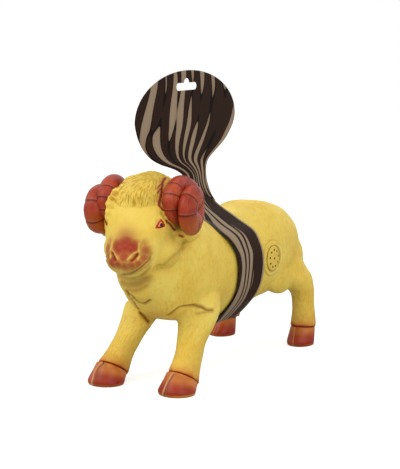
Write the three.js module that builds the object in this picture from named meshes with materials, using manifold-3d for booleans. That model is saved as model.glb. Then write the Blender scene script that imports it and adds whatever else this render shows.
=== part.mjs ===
// A soft moulded toy ram with a squeeze-operated sound unit in its left flank
// and a printed card band with a hang header.
// Millimetres, +Z up. The animal faces -Y, its left side is +X, and it stands on Z = 0.

import * as THREE from 'three';
import { mergeVertices } from 'three/addons/utils/BufferGeometryUtils.js';
import Module from 'manifold-3d';

const wasm = await Module();
wasm.setup();

// Driving dimensions of the moulded skin
const skinWall = 2.0;
const seatGap = 0.3;
const collarProud = 0.6;
const collarDiameter = 29;
const sleeveWall = 1.7;
const sleeveDepth = 8;

// Driving dimensions of the hooves
const frontHoof = {
  halfWidth: 15,
  toe: 14,
  heel: 13,
  height: 10.3,
  tilt: 0.62,
  ankleBack: 8.5,
  top: { side: 0.79, toe: 1.02, heel: 0.9 },
};
const hindHoof = {
  halfWidth: 11.8,
  toe: 14,
  heel: 12.5,
  height: 15.8,
  tilt: 0.1,
  ankleBack: 4,
  top: { side: 0.92, toe: 0.78, heel: 0.82 },
};

// Driving dimensions of the head
const headPivotY = -72;
const headTurn = THREE.MathUtils.degToRad(10);
const faceSlope = THREE.MathUtils.degToRad(30);
const crownForward = 12;
const crownHeight = 167;

// Driving dimensions of the horns: the inner turn hangs from the crown, and the rest follows it
const hornTube = { inner: 7.8, outer: 9.2 };
const hornFlatten = 0.98;
const hornSweep = 450;
const hornDrop = 18.5;
const innerLoop = { lateral: 25.5, forward: 15, height: crownHeight - hornDrop, reach: 19.5, rise: 14.5 };
const turnSpread = { lateral: 13.5, forward: 7, drop: 5.7 };
const outerLoop = {
  lateral: innerLoop.lateral + turnSpread.lateral,
  forward: innerLoop.forward + turnSpread.forward,
  height: innerLoop.height - turnSpread.drop,
  reach: 10.6,
  rise: 10.6,
};
const hubOverrun = { inner: 1.5, outer: 4 };
const hubLift = 0.8;
const hornHub = {
  from: innerLoop.lateral + hubOverrun.inner,
  to: outerLoop.lateral + hubOverrun.outer,
  forward: outerLoop.forward - 1,
  height: outerLoop.height + hubLift,
  radius: 4.4,
};
const hornGrooves = [-52, -18, 20, 58, 150, 245, 335, 382, 480];
const hornTip = { share: 0.35, before: 60, after: 90 };
const linkOverlap = 7;
const grooveDepth = 0.75;

// Driving dimensions of the card band and its header
const cardThickness = 0.5;
const bandWidth = 43;
const bandSlack = 0.9;
const bandSag = 3.4;
const bandFloor = 15.5;
const bandFoot = { bow: 1.2, lift: 5 };
const bandShoulder = { below: 3.6, out: 1, sink: 0.5 };
const bandCrest = { half: 6.5, rise: 5.5 };
const bandThroat = { half: 1.8, rise: 10.5 };
const neckSeam = 2;
const bandCentreY = 16.5;
const neckWidth = 38;
const neckBottom = 138;
const flexHeight = 152;
const neckFlare = { from: 158, to: 176, spread: 24 };
const lean = { from: 106, to: 166, reach: 27, power: 0.9 };
const taper = { from: 112, to: 132 };
const headerCentre = { y: -21, z: 207 };
const headerSize = { length: 154.8, height: 77, neckOverlap: 6 };
const hangSlot = { length: 31.5, height: 6, humpRadius: 4.6, y: -22.7, z: 232.7 };

// Driving dimensions of the sound unit, whose axis runs along X
const unitY = 54.5;
const unitZ = 85.3;
const unitDiameter = 21.4;
const portClearance = 0.3;
const unitWall = 1.2;
const capFace = 1.6;
const capDome = 0.9;
const capProud = 0.5;
const capSkirt = 2.4;
const skirtWall = 0.9;
const fit = 0.25;
const soundHole = { diameter: 1.5, ring: 7.3, count: 9 };
const caseLength = 27;
const caseBack = 1.4;
const speaker = { depth: 3.6, plate: 0.6, edge: 1.2, slope: 2.5, rimWall: 0.8, mouth: 3.2 };
const cone = { thickness: 0.35, set: 0.5, roll: 1.6, neck: 3, depth: 1.3 };
const magnet = { diameter: 8.4, height: 2.4 };
const boardSpace = 2.2;
const boardThickness = 1;
const padHole = 1;
const chip = { diameter: 6, height: 1.2 };
const touch = 0.1;
const cell = { diameter: 11.6, height: 3.05, count: 3, rim: 0.3, step: 0.9, face: 1.2 };
const cellOffset = -3.1;
const cellTubeWall = 0.7;
const cellRest = 0.4;
const buttonOffset = 6.4;
const button = { stem: 2, head: 4.2, headHeight: 1.6, round: 0.5, travel: 1.2, flange: 3.2, flangeHeight: 0.6 };
const switchBody = { width: 4.2, height: 3.4 };
const springWire = 0.35;
const springTurns = 3;
const springSpace = 0.1;
const doorThickness = 1.2;
const doorMargin = 0.8;
const doorGrip = { width: 0.8, length: 6, height: 1, drop: 2, sunk: 0.1 };
const screw = { shank: 1.4, head: 2.8, headHeight: 0.9, round: 0.3, length: 6, point: 0.6, across: 6.9, up: 3.4, bossWall: 0.8 };
const screwSlot = { length: 1.8, width: 0.4, depth: 0.5 };
const earMargin = 0.4;
const contact = { thickness: 0.3, plusDiameter: 8, minusDiameter: 5, legWidth: 2, legDrop: 3.2, seat: 0.05 };
const wire = { diameter: 0.8, spread: 5.6, inward: 0.4, bow: 0.6, rise: 1.5 };
const doorLift = 9;
const doorRoom = 4;
const drillMargin = 1;

// Mesh helpers
function geometryFrom(vertices, triangles) {
  const geometry = new THREE.BufferGeometry();
  geometry.setAttribute('position', new THREE.Float32BufferAttribute(vertices, 3));
  geometry.setIndex(triangles);
  return geometry;
}

function solidOf(source) {
  const bare = source.clone();
  for (const name of Object.keys(bare.attributes)) {
    if (name !== 'position') bare.deleteAttribute(name);
  }
  const merged = mergeVertices(bare, 1e-4);
  const p = merged.attributes.position;
  const triVerts = [];
  let volume = 0;
  const [a, b, c] = [new THREE.Vector3(), new THREE.Vector3(), new THREE.Vector3()];
  const index = merged.index.array;
  for (let i = 0; i < index.length; i += 3) {
    const [u, v, w] = [index[i], index[i + 1], index[i + 2]];
    if (u === v || v === w || w === u) continue;
    triVerts.push(u, v, w);
    a.fromBufferAttribute(p, u);
    b.fromBufferAttribute(p, v);
    c.fromBufferAttribute(p, w);
    volume += a.dot(b.cross(c));
  }
  if (volume < 0) {
    for (let i = 0; i < triVerts.length; i += 3) {
      [triVerts[i + 1], triVerts[i + 2]] = [triVerts[i + 2], triVerts[i + 1]];
    }
  }
  return new wasm.Manifold(new wasm.Mesh({
    numProp: 3,
    vertProperties: new Float32Array(p.array),
    triVerts: new Uint32Array(triVerts),
  }));
}

const finestDetail = 0.02;
function geometryOf(solid) {
  const mesh = solid.simplify(finestDetail).getMesh();
  return geometryFrom(Array.from(mesh.vertProperties), Array.from(mesh.triVerts));
}

function joined(first, ...others) {
  return others.reduce((whole, other) => whole.add(other), first);
}

// A turned solid about the X axis: profile points are [x, radius], and a ring's profile is closed here
function turned(profile, y, z, segments = 24) {
  const onAxis = profile[0][1] === 0 && profile[profile.length - 1][1] === 0;
  const outline = onAxis ? profile : [...profile, profile[0]];
  const points = outline.map(([x, radius]) => new THREE.Vector2(radius, x));
  const lathe = new THREE.LatheGeometry(points, segments);
  lathe.rotateZ(-Math.PI / 2);
  lathe.translate(0, y, z);
  return solidOf(lathe);
}

function disc(x0, x1, radius, y, z, segments = 24) {
  return turned([[x0, 0], [x0, radius], [x1, radius], [x1, 0]], y, z, segments);
}

function block(size, centre) {
  const geometry = new THREE.BoxGeometry(...size);
  geometry.translate(...centre);
  return solidOf(geometry);
}

// Smooth interpolation through a list of number rows
function blendRows(rows, t) {
  const last = rows.length - 1;
  const i = Math.min(Math.floor(t), last - 1);
  const f = t - i;
  const row = (k) => rows[Math.max(0, Math.min(last, k))];
  return row(i).map((_, n) => {
    const [a, b, c, d] = [row(i - 1)[n], row(i)[n], row(i + 1)[n], row(i + 2)[n]];
    return b + 0.5 * f * (c - a + f * (2 * a - 5 * b + 4 * c - d + f * (3 * (b - c) + d - a)));
  });
}

// A soft form swept through sections. Each station is
// [x, y, z, side radius, radius towards v, radius away from v, tilt, fullness],
// where tilt moves a section's edge along the sweep and fullness 2 is an ellipse. Domes close both ends.
function softForm(stations, { u, v, along, domes, sides = 20, perSpan = 2, domeRings = 3, grow = 0 }) {
  const rings = [];
  const spans = (stations.length - 1) * perSpan;
  for (let i = 0; i <= spans; i += 1) rings.push({ row: blendRows(stations, i / perSpan), scale: 1, shift: 0 });
  const first = rings[0].row;
  const final = rings[rings.length - 1].row;
  const domeRow = (row, length, sign) => {
    const made = [];
    for (let j = 1; j < domeRings; j += 1) {
      const angle = (Math.PI / 2) * (1 - j / domeRings);
      made.push({ row, scale: Math.sin(angle), shift: sign * (length + grow) * Math.cos(angle) });
    }
    return made;
  };
  if (domes[0] > 0) rings.unshift(...domeRow(first, domes[0], -1).reverse());
  if (domes[1] > 0) rings.push(...domeRow(final, domes[1], 1));
  const vertices = [];
  const point = (row, k, scale, shift) => {
    const angle = (2 * Math.PI * k) / sides;
    const fuller = (value) => Math.sign(value) * Math.pow(Math.abs(value), 2 / (row[7] || 2));
    const side = (row[3] + grow) * fuller(Math.cos(angle)) * scale;
    const reach = Math.sin(angle) > 0 ? row[4] : row[5];
    const rise = (reach + grow) * fuller(Math.sin(angle)) * scale;
    const push = shift + (row[6] || 0) * rise;
    for (let n = 0; n < 3; n += 1) vertices.push(row[n] + u[n] * side + v[n] * rise + along[n] * push);
  };
  for (const ring of rings) for (let k = 0; k < sides; k += 1) point(ring.row, k, ring.scale, ring.shift);
  const startPole = vertices.length / 3;
  const poleShift = [domes[0] > 0 ? -(domes[0] + grow) : 0, domes[1] > 0 ? domes[1] + grow : 0];
  for (let n = 0; n < 3; n += 1) vertices.push(first[n] + along[n] * poleShift[0]);
  for (let n = 0; n < 3; n += 1) vertices.push(final[n] + along[n] * poleShift[1]);
  const triangles = [];
  for (let r = 0; r + 1 < rings.length; r += 1) {
    for (let k = 0; k < sides; k += 1) {
      const m = (k + 1) % sides;
      const [a, b, c, d] = [r * sides + k, r * sides + m, (r + 1) * sides + m, (r + 1) * sides + k];
      triangles.push(a, b, c, a, c, d);
    }
  }
  const lastRing = (rings.length - 1) * sides;
  for (let k = 0; k < sides; k += 1) {
    const m = (k + 1) % sides;
    triangles.push(startPole, m, k, startPole + 1, lastRing + k, lastRing + m);
  }
  return solidOf(geometryFrom(vertices, triangles));
}

function ellipsoid(centre, radii, segments = 16) {
  const ball = new THREE.SphereGeometry(1, segments, Math.round(segments * 0.6));
  ball.scale(...radii);
  ball.translate(...centre);
  return solidOf(ball);
}

// The trunk with its neck: [y, height of the widest line, half width, rise, drop, fullness]
const trunkRows = [
  [118, 92, 31, 25, 31, 2.1],
  [102, 90, 38.5, 36, 39, 2.4],
  [80, 88, 40.5, 42, 40, 2.5],
  [54, 86, 39.2, 41, 44, 2.3],
  [22, 82, 36.6, 42, 45, 2],
  [-8, 83, 36.8, 43, 44, 2],
  [-36, 84, 37, 50, 39, 2.2],
  [-60, 87, 34.5, 56, 38, 2.2],
  [-80, 92, 28.5, 52, 34, 2.1],
  [-94, 97, 21, 38, 26, 2],
];
const rumpDome = 11.8;
const chestDome = 12;
const trunkAxes = { u: [1, 0, 0], v: [0, 0, 1], along: [0, -1, 0], domes: [rumpDome, chestDome] };
const trunkStations = trunkRows.map(([y, z, side, rise, drop, full]) => [0, y, z, side, rise, drop, 0, full]);
const trunk = (grow, sides = 20, perSpan = 2) => softForm(trunkStations, { ...trunkAxes, grow, sides, perSpan });

// The row of the trunk at a place along its length
function trunkAt(y) {
  let low = 0;
  let high = trunkRows.length - 1;
  for (let i = 0; i < 30; i += 1) {
    const middle = (low + high) / 2;
    if (blendRows(trunkRows, middle)[0] > y) low = middle;
    else high = middle;
  }
  return blendRows(trunkRows, low);
}

function flankAt(y, z) {
  const [, centre, side, rise, drop, full] = trunkAt(y);
  const share = Math.abs(z - centre) / (z > centre ? rise : drop);
  return side * Math.pow(1 - Math.pow(share, full), 1 / full);
}

const trunkOuter = trunk(0);
const trunkClear = trunk(seatGap);
const unitFace = flankAt(unitY, unitZ) + capProud;
const portRadius = unitDiameter / 2 + portClearance;
const unitBack = unitFace - capFace - caseLength - seatGap;
const pastSkin = unitFace + 20;

function bodySkin() {
  const raised = trunk(collarProud);
  const cavity = trunk(-skinWall, 14, 1);
  const inward = (radius, depth) => disc(unitFace - depth, pastSkin, radius, unitY, unitZ, 24);
  const ring = raised.intersect(inward(collarDiameter / 2, sleeveDepth)).subtract(cavity);
  const sleeve = raised.intersect(inward(portRadius + sleeveWall, sleeveDepth));
  return joined(trunkOuter.subtract(cavity), ring, sleeve).subtract(inward(portRadius, caseLength));
}

// The filling leaves a pocket behind the unit, long enough for its battery door to lift off
function bodyStuffing() {
  const filling = trunk(-skinWall - seatGap, 14, 1);
  const pocketEnd = unitBack - doorLift - doorRoom;
  return filling.subtract(disc(pocketEnd, pastSkin, portRadius + sleeveWall + seatGap, unitY, unitZ, 18));
}

// The head is built about the neck pivot, then turned a little to its left
function turnedWithHead(solid) {
  return solid.rotate([0, 0, THREE.MathUtils.radToDeg(headTurn)]).translate([0, headPivotY, 0]);
}

// The face runs down a slope: [distance from crown, half width, front, back]
const faceRows = [
  [4, 20, 14, 18],
  [14, 26, 18, 28],
  [30, 27.5, 17.5, 33],
  [44, 25.5, 17.5, 35],
  [56, 23, 18, 33],
  [65, 20.5, 16.8, 27],
  [74, 18, 14.5, 19],
];
const slopeDown = [0, -Math.sin(faceSlope), -Math.cos(faceSlope)];
const slopeFront = [0, -Math.cos(faceSlope), Math.sin(faceSlope)];

function faceForm(grow, sides = 18, perSpan = 2) {
  const stations = faceRows.map(([down, side, front, back]) => [
    0,
    -crownForward + slopeDown[1] * down,
    crownHeight + slopeDown[2] * down,
    side, front, back, 0,
  ]);
  const axes = { u: [1, 0, 0], v: slopeFront, along: slopeDown, domes: [7, 6.5] };
  return turnedWithHead(softForm(stations, { ...axes, grow, sides, perSpan }));
}

const woolCap = { ahead: 5, drop: 14, side: 26, length: 27.5, rise: 17.5 };
function woolForm(grow) {
  const size = [woolCap.side + grow, woolCap.length + grow, woolCap.rise + grow];
  const centre = [0, -crownForward - woolCap.ahead, crownHeight - woolCap.drop];
  return turnedWithHead(ellipsoid(centre, size, 16));
}

const headOuter = joined(faceForm(0), woolForm(0));
const headClear = joined(faceForm(seatGap), woolForm(seatGap));
const headCavity = faceForm(-skinWall, 12, 1);

// Horns: a tapered tube on 1.5 turns about a lateral axis, in swelling links between the grooves
function hornCentre(degrees) {
  const share = degrees / hornSweep;
  const mix = (key) => innerLoop[key] + (outerLoop[key] - innerLoop[key]) * share;
  const angle = THREE.MathUtils.degToRad(degrees);
  return [mix('lateral'), -(mix('forward') + mix('reach') * Math.cos(angle)), mix('height') + mix('rise') * Math.sin(angle)];
}

function hornRadius(degrees) {
  const start = hornGrooves[0];
  const grown = THREE.MathUtils.smoothstep(degrees, start - hornTip.before, start + hornTip.after);
  const full = THREE.MathUtils.lerp(hornTube.inner, hornTube.outer, degrees / hornSweep);
  return full * THREE.MathUtils.lerp(hornTip.share, 1, grown);
}

function hornLink(from, to) {
  const sides = 10;
  const steps = Math.max(2, Math.round((to - from) / 20));
  const vertices = [];
  const rings = [];
  for (let i = 0; i <= steps; i += 1) rings.push(from + ((to - from) * i) / steps);
  rings.unshift(from - linkOverlap);
  rings.push(to + linkOverlap);
  const previous = new THREE.Vector3();
  const next = new THREE.Vector3();
  const lateral = new THREE.Vector3(1, 0, 0);
  for (const degrees of rings) {
    const outside = degrees < from || degrees > to;
    let sunk = 0;
    if (outside) sunk = 3.2 * grooveDepth;
    if (degrees === from) sunk = grooveDepth;
    if (degrees === to) sunk = 1.3 * grooveDepth;
    const radius = hornRadius(degrees) - sunk;
    const centre = new THREE.Vector3(...hornCentre(degrees));
    previous.set(...hornCentre(degrees - 1));
    next.set(...hornCentre(degrees + 1));
    const tangent = next.sub(previous).normalize();
    const side = lateral.clone().addScaledVector(tangent, -tangent.x).normalize();
    const outward = new THREE.Vector3().crossVectors(tangent, side);
    for (let k = 0; k < sides; k += 1) {
      const angle = (2 * Math.PI * k) / sides;
      const place = centre.clone()
        .addScaledVector(side, radius * hornFlatten * Math.cos(angle))
        .addScaledVector(outward, radius * Math.sin(angle));
      vertices.push(place.x, place.y, place.z);
    }
  }
  const triangles = [];
  for (let r = 0; r + 1 < rings.length; r += 1) {
    for (let k = 0; k < sides; k += 1) {
      const m = (k + 1) % sides;
      const [a, b, c, d] = [r * sides + k, r * sides + m, (r + 1) * sides + m, (r + 1) * sides + k];
      triangles.push(a, b, c, a, c, d);
    }
  }
  const last = (rings.length - 1) * sides;
  for (let k = 1; k + 1 < sides; k += 1) triangles.push(0, k + 1, k, last, last + k, last + k + 1);
  return solidOf(geometryFrom(vertices, triangles));
}

function hornForm() {
  const links = [];
  for (let i = 0; i + 1 < hornGrooves.length; i += 1) links.push(hornLink(hornGrooves[i], hornGrooves[i + 1]));
  const tail = hornCentre(hornGrooves[hornGrooves.length - 1]);
  const hub = disc(hornHub.from, hornHub.to, hornHub.radius, -hornHub.forward, hornHub.height, 10);
  return joined(...links, hub, ellipsoid(tail, [hornTube.outer * hornFlatten, hornTube.outer, hornTube.outer], 10));
}

const hornBase = hornForm();
const mirrored = (solid) => solid.mirror([1, 0, 0]);
const hornSolids = {
  left: turnedWithHead(hornBase).subtract(headClear).subtract(trunkClear),
  right: turnedWithHead(mirrored(hornBase)).subtract(headClear).subtract(trunkClear),
};

// Ears: a soft roll tucked under each horn's inner turn
const earTuck = { outward: 5.5, back: 6, below: 10 };
const earRoll = {
  lateral: innerLoop.lateral + earTuck.outward,
  forward: innerLoop.forward - earTuck.back,
  height: innerLoop.height - innerLoop.rise - earTuck.below,
  side: 10,
  length: 15,
  rise: 7,
};
function earForm(sign) {
  const ball = ellipsoid([sign * earRoll.lateral, -earRoll.forward, earRoll.height], [earRoll.side, earRoll.length, earRoll.rise], 14);
  const hornRoom = turnedWithHead(sign > 0 ? hornBase : mirrored(hornBase));
  const lowered = hornRoom.translate([0, 0, -seatGap]);
  return turnedWithHead(ball).subtract(headClear).subtract(trunkClear).subtract(hornRoom).subtract(lowered);
}

// Legs and hooves
const feet = {
  front_left: { x: 32, y: -91, hoof: frontHoof },
  front_right: { x: -33, y: -92.5, hoof: frontHoof },
  hind_left: { x: 40, y: 107.5, hoof: hindHoof },
  hind_right: { x: -40, y: 107, hoof: hindHoof },
};

// Up the leg: [rise above the ankle, inward, back, side radius, front radius, rear radius]
const frontLegRows = [
  [0, 0, 1, 11.2, 13.8, 14.2],
  [12, 1.7, 10.2, 10, 12.8, 12.8],
  [24, 4, 20.4, 10.8, 14.3, 13.6],
  [36, 6, 31, 14.6, 15, 15],
  [48, 8, 39, 17, 17, 18],
  [62, 11, 43, 15, 17, 18],
];
const hindLegRows = [
  [0, 0, 0, 11, 11.5, 11.5],
  [9, 0, 0.8, 10, 10.5, 11],
  [20, 0.5, 2.2, 9.8, 10.6, 11],
  [33, 2, 4, 11, 12.5, 12.5],
  [44, 6, -2, 14, 25, 14],
  [60, 14, -10, 14, 24, 15],
];

// Up the hoof, as shares: [height, how far it has turned from its sole's outline to its top's, swell]
const hoofShares = [
  [0, 0, 0.96],
  [0.22, 0, 1],
  [0.62, 0.5, 1],
  [1, 1, 1],
];
function hoofForm({ x, y, hoof }) {
  const { halfWidth, toe, heel, height, tilt, ankleBack, top } = hoof;
  const seat = seatGap * Math.hypot(1, tilt);
  const stations = hoofShares.map(([up, blend, swell]) => {
    const reach = (sole, share) => sole * swell * (1 + (share - 1) * blend);
    return [
      x, y + ankleBack * blend, Math.min(height * up, height - seat),
      reach(halfWidth, top.side), reach(toe, top.toe), reach(heel, top.heel), tilt * up,
    ];
  });
  return softForm(stations, { u: [1, 0, 0], v: [0, -1, 0], along: [0, 0, 1], domes: [0, 0], sides: 14 });
}

const legTiltFade = 30;
function legForm({ x, y, hoof }, grow = 0, sides = 14, perSpan = 2) {
  const rows = hoof === frontHoof ? frontLegRows : hindLegRows;
  const stations = rows.map(([rise, inward, back, side, front, rear]) => [
    x - Math.sign(x) * inward,
    y + hoof.ankleBack + back,
    hoof.height + rise,
    side, front, rear,
    hoof.tilt * Math.max(0, 1 - rise / legTiltFade),
  ]);
  if (grow < 0) stations[0][2] -= grow;
  const axes = { u: [1, 0, 0], v: [0, -1, 0], along: [0, 0, 1], domes: [0, 8] };
  return softForm(stations, { ...axes, sides, perSpan, grow });
}

function legSkin(foot) {
  return legForm(foot).subtract(legForm(foot, -skinWall, 10, 1)).subtract(trunkClear);
}

// Tail: a short flat lobe that hangs against the rump, from its root down
const tailRows = [
  [113, 120.5, 7, 5, 5],
  [105, 125.3, 7.6, 5, 5],
  [95, 127.7, 7.4, 5.2, 5],
  [86, 128, 6, 5, 5],
];
function tailForm() {
  const stations = tailRows.map(([height, y, side, rear, front]) => [0, y, height, side, rear, front]);
  const axes = { u: [1, 0, 0], v: [0, 1, 0], along: [0, 0, -1], domes: [4, 5], sides: 12 };
  return softForm(stations, axes).subtract(trunkClear);
}

// The card band: a drop-shaped loop round the barrel that closes into a neck
function barrelHalf(z) {
  const places = [-1, -0.5, 0, 0.5, 1].map((share) => bandCentreY + (share * bandWidth) / 2);
  return Math.max(...places.map((y) => flankAt(y, z)));
}

function bandLoop(offset) {
  const [, centre, , rise, drop] = trunkAt(bandCentreY);
  const low = centre - drop - bandSag - offset;
  const reach = bandSlack + offset;
  const row = (z) => [barrelHalf(z) + reach, z];
  const top = centre + rise;
  const rows = [
    [0, low],
    [bandFloor * 0.6, low + bandFoot.bow],
    [bandFloor, low + bandFoot.lift],
    ...[-0.78, -0.55, -0.3, 0, 0.25, 0.5, 0.7, 0.84].map((share) => row(centre + share * (share < 0 ? drop : rise))),
    [barrelHalf(top - bandShoulder.below) + reach + bandShoulder.out, top - bandShoulder.sink],
    [bandCrest.half + reach, top + bandCrest.rise],
    [bandThroat.half + offset, top + bandThroat.rise],
    [offset > 0 ? cardThickness / 2 : 0, neckBottom + (offset > 0 ? neckSeam : 0)],
  ];
  const points = [];
  const steps = (rows.length - 1) * 2;
  for (let i = 0; i <= steps; i += 1) points.push(blendRows(rows, i / 2));
  return points;
}

// How far the band and its neck lean forward at a height
function bandShift(z) {
  const rise = THREE.MathUtils.clamp((z - lean.from) / (lean.to - lean.from), 0, 1);
  return -lean.reach * Math.pow(THREE.MathUtils.smoothstep(rise, 0, 1), lean.power);
}

// The band narrows into the neck
function bandWidthAt(z) {
  return THREE.MathUtils.lerp(bandWidth, neckWidth, THREE.MathUtils.clamp((z - taper.from) / (taper.to - taper.from), 0, 1));
}

function cardBand() {
  const inner = bandLoop(0);
  const outer = bandLoop(cardThickness);
  const both = (side) => [...side, ...side.slice(1, -1).reverse().map(([x, z]) => [-x, z])];
  const strip = (points) => {
    const vertices = [];
    for (const end of [-1, 1]) {
      for (const [x, z] of points) vertices.push(x, bandCentreY + bandShift(z) + (end * bandWidthAt(z)) / 2, z);
    }
    return vertices;
  };
  const prism = (points, longer) => {
    const n = points.length;
    const vertices = strip(points).map((value, i) => {
      if (i % 3 !== 1) return value;
      return value + (i < n * 3 ? -longer : longer);
    });
    const contour = points.map(([x, z]) => new THREE.Vector2(x, z));
    const caps = THREE.ShapeUtils.triangulateShape(contour, []);
    const triangles = [];
    for (const [a, b, c] of caps) triangles.push(a, b, c, n + a, n + c, n + b);
    for (let k = 0; k < n; k += 1) {
      const m = (k + 1) % n;
      triangles.push(k, n + k, m, m, n + k, n + m);
    }
    return solidOf(geometryFrom(vertices, triangles));
  };
  const loop = prism(both(outer), 0).subtract(prism(both(inner), drillMargin));
  return joined(loop, neckPlate(neckBottom, flexHeight - seatGap));
}

// A flat piece of the card's neck between two heights
function neckPlate(from, to) {
  const steps = 6;
  const vertices = [];
  for (let i = 0; i <= steps; i += 1) {
    const z = from + ((to - from) * i) / steps;
    const middle = bandCentreY + bandShift(z);
    const width = neckWidth + neckFlare.spread * THREE.MathUtils.smoothstep(z, neckFlare.from, neckFlare.to);
    for (const [sx, sy] of [[-1, -1], [1, -1], [1, 1], [-1, 1]]) {
      vertices.push((sx * cardThickness) / 2, middle + (sy * width) / 2, z);
    }
  }
  const triangles = [0, 2, 1, 0, 3, 2];
  for (let i = 0; i < steps; i += 1) {
    for (let k = 0; k < 4; k += 1) {
      const m = (k + 1) % 4;
      const [a, b, c, d] = [4 * i + k, 4 * i + m, 4 * i + 4 + m, 4 * i + 4 + k];
      triangles.push(a, b, c, a, c, d);
    }
  }
  const top = 4 * steps;
  triangles.push(top, top + 1, top + 2, top, top + 2, top + 3);
  return solidOf(geometryFrom(vertices, triangles));
}

function sheetOf(shape, segments = 24) {
  const plate = new THREE.ExtrudeGeometry(shape, { depth: cardThickness, bevelEnabled: false, curveSegments: segments });
  plate.rotateX(Math.PI / 2);
  plate.rotateZ(Math.PI / 2);
  plate.translate(-cardThickness / 2, 0, 0);
  return solidOf(plate);
}

function cardHeader() {
  const oval = new THREE.Shape();
  oval.absellipse(headerCentre.y, headerCentre.z, headerSize.length / 2, headerSize.height / 2, 0, 2 * Math.PI);
  const { length, height, humpRadius, y, z } = hangSlot;
  const [half, end] = [length / 2, height / 2];
  const slot = new THREE.Shape();
  slot.moveTo(y - half + end, z - end);
  slot.absarc(y + half - end, z, end, -Math.PI / 2, Math.PI / 2);
  slot.absarc(y, z + end - 1, humpRadius, 0.2, Math.PI - 0.2);
  slot.absarc(y - half + end, z, end, Math.PI / 2, 1.5 * Math.PI);
  const depth = cardThickness + 2 * drillMargin;
  const cut = new THREE.ExtrudeGeometry(slot, { depth, bevelEnabled: false, curveSegments: 8 });
  cut.rotateX(Math.PI / 2);
  cut.rotateZ(Math.PI / 2);
  cut.translate(-depth / 2, 0, 0);
  const neck = neckPlate(flexHeight, headerCentre.z - headerSize.height / 2 + headerSize.neckOverlap);
  return joined(sheetOf(oval), neck).subtract(solidOf(cut));
}

// Sound unit: stations along X, from the face inwards
const boreRadius = unitDiameter / 2 - unitWall;
const capBack = unitFace - capFace;
const caseFront = capBack - seatGap;
const speakerFront = caseFront - capSkirt - seatGap;
const speakerBack = speakerFront - speaker.depth;
const magnetFront = speakerBack - seatGap;
const boardFront = magnetFront - magnet.height + seatGap - boardSpace;
const boardBack = boardFront - boardThickness;
const doorInner = unitBack - seatGap;
const doorOuter = doorInner - doorThickness;
const screwSeat = doorOuter - touch;
const cellRadius = cell.diameter / 2;
const cellsEnd = unitBack + cellRest + cell.count * (cell.height + touch);
const cellZ = unitZ + cellOffset;
const buttonZ = unitZ + buttonOffset;
const screwY = unitY + screw.across;
const screwZ = unitZ + screw.up;

function grilleCap() {
  const radius = unitDiameter / 2;
  const skirt = boreRadius - fit;
  const dome = [];
  for (let i = 0; i <= 4; i += 1) {
    const share = i / 4;
    dome.push([unitFace + capDome * (1 - share * share), radius * share]);
  }
  const profile = [
    ...dome,
    [capBack, radius],
    [capBack, skirt],
    [capBack - capSkirt, skirt],
    [capBack - capSkirt, skirt - skirtWall],
    [capBack, skirt - skirtWall],
    [capBack, 0],
  ];
  let cap = turned(profile, unitY, unitZ, 24);
  const drill = (y, z) => disc(capBack - drillMargin, pastSkin, soundHole.diameter / 2, y, z, 8);
  cap = cap.subtract(drill(unitY, unitZ));
  for (let i = 0; i < soundHole.count; i += 1) {
    const angle = (2 * Math.PI * i) / soundHole.count + Math.PI / 2;
    cap = cap.subtract(drill(unitY + soundHole.ring * Math.cos(angle), unitZ + soundHole.ring * Math.sin(angle)));
  }
  return cap;
}

function unitCase() {
  const radius = unitDiameter / 2;
  const shell = turned([
    [caseFront, radius], [unitBack, radius], [unitBack, 0], [unitBack + caseBack, 0],
    [unitBack + caseBack, boreRadius], [caseFront, boreRadius],
  ], unitY, unitZ, 24);
  const inWall = unitBack + caseBack / 2;
  const outOfBack = unitBack - drillMargin;
  const tubeEnd = unitBack + caseBack + cell.height * cell.count;
  const bossEnd = unitBack + screw.length;
  const within = disc(unitBack, caseFront, radius - unitWall / 2, unitY, unitZ, 24);
  const tube = disc(inWall, tubeEnd, cellRadius + fit + cellTubeWall, unitY, cellZ).intersect(within);
  const boss = disc(inWall, bossEnd, screw.shank / 2 + fit + screw.bossWall, screwY, screwZ, 12).intersect(within);
  return joined(shell, tube, boss)
    .subtract(disc(outOfBack, tubeEnd + drillMargin, cellRadius + fit, unitY, cellZ))
    .subtract(disc(outOfBack, unitBack + caseBack + drillMargin, button.stem / 2 + fit, unitY, buttonZ, 12))
    .subtract(disc(outOfBack, bossEnd + drillMargin, screw.shank / 2 + fit, screwY, screwZ, 12));
}

function speakerFrame() {
  const rim = boreRadius - fit;
  const innerRim = rim - speaker.rimWall;
  const floor = speakerBack + speaker.plate;
  return turned([
    [speakerFront, rim], [speakerBack + speaker.edge, rim], [speakerBack, rim - speaker.slope],
    [speakerBack, speaker.mouth], [floor, speaker.mouth],
    [floor, innerRim - speaker.slope], [floor + speaker.edge, innerRim], [speakerFront, innerRim],
  ], unitY, unitZ);
}

function speakerMagnet() {
  return disc(magnetFront - magnet.height, magnetFront, magnet.diameter / 2, unitY, unitZ, 20);
}

function speakerCone() {
  const rim = boreRadius - fit - speaker.rimWall - fit;
  const front = speakerFront - cone.set;
  const face = [[front, rim], [front, rim - cone.roll], [front - cone.depth, cone.neck], [front - cone.depth * 0.7, 0]];
  const back = face.slice().reverse().map(([x, radius]) => [x - cone.thickness, radius]);
  return turned([...face, ...back], unitY, unitZ);
}

function circuitBoard() {
  const hole = (side) => disc(
    boardBack - drillMargin, boardFront + drillMargin, padHole / 2, unitY + side * wire.spread, unitZ, 8);
  return disc(boardBack, boardFront, boreRadius - fit, unitY, unitZ).subtract(hole(1)).subtract(hole(-1));
}

function soundChip() {
  const base = boardFront + touch;
  const radius = chip.diameter / 2;
  const drop = [[base, 0], [base, radius], [base + chip.height * 0.6, radius * 0.8], [base + chip.height, 0]];
  return turned(drop, unitY, unitZ, 14);
}

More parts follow.
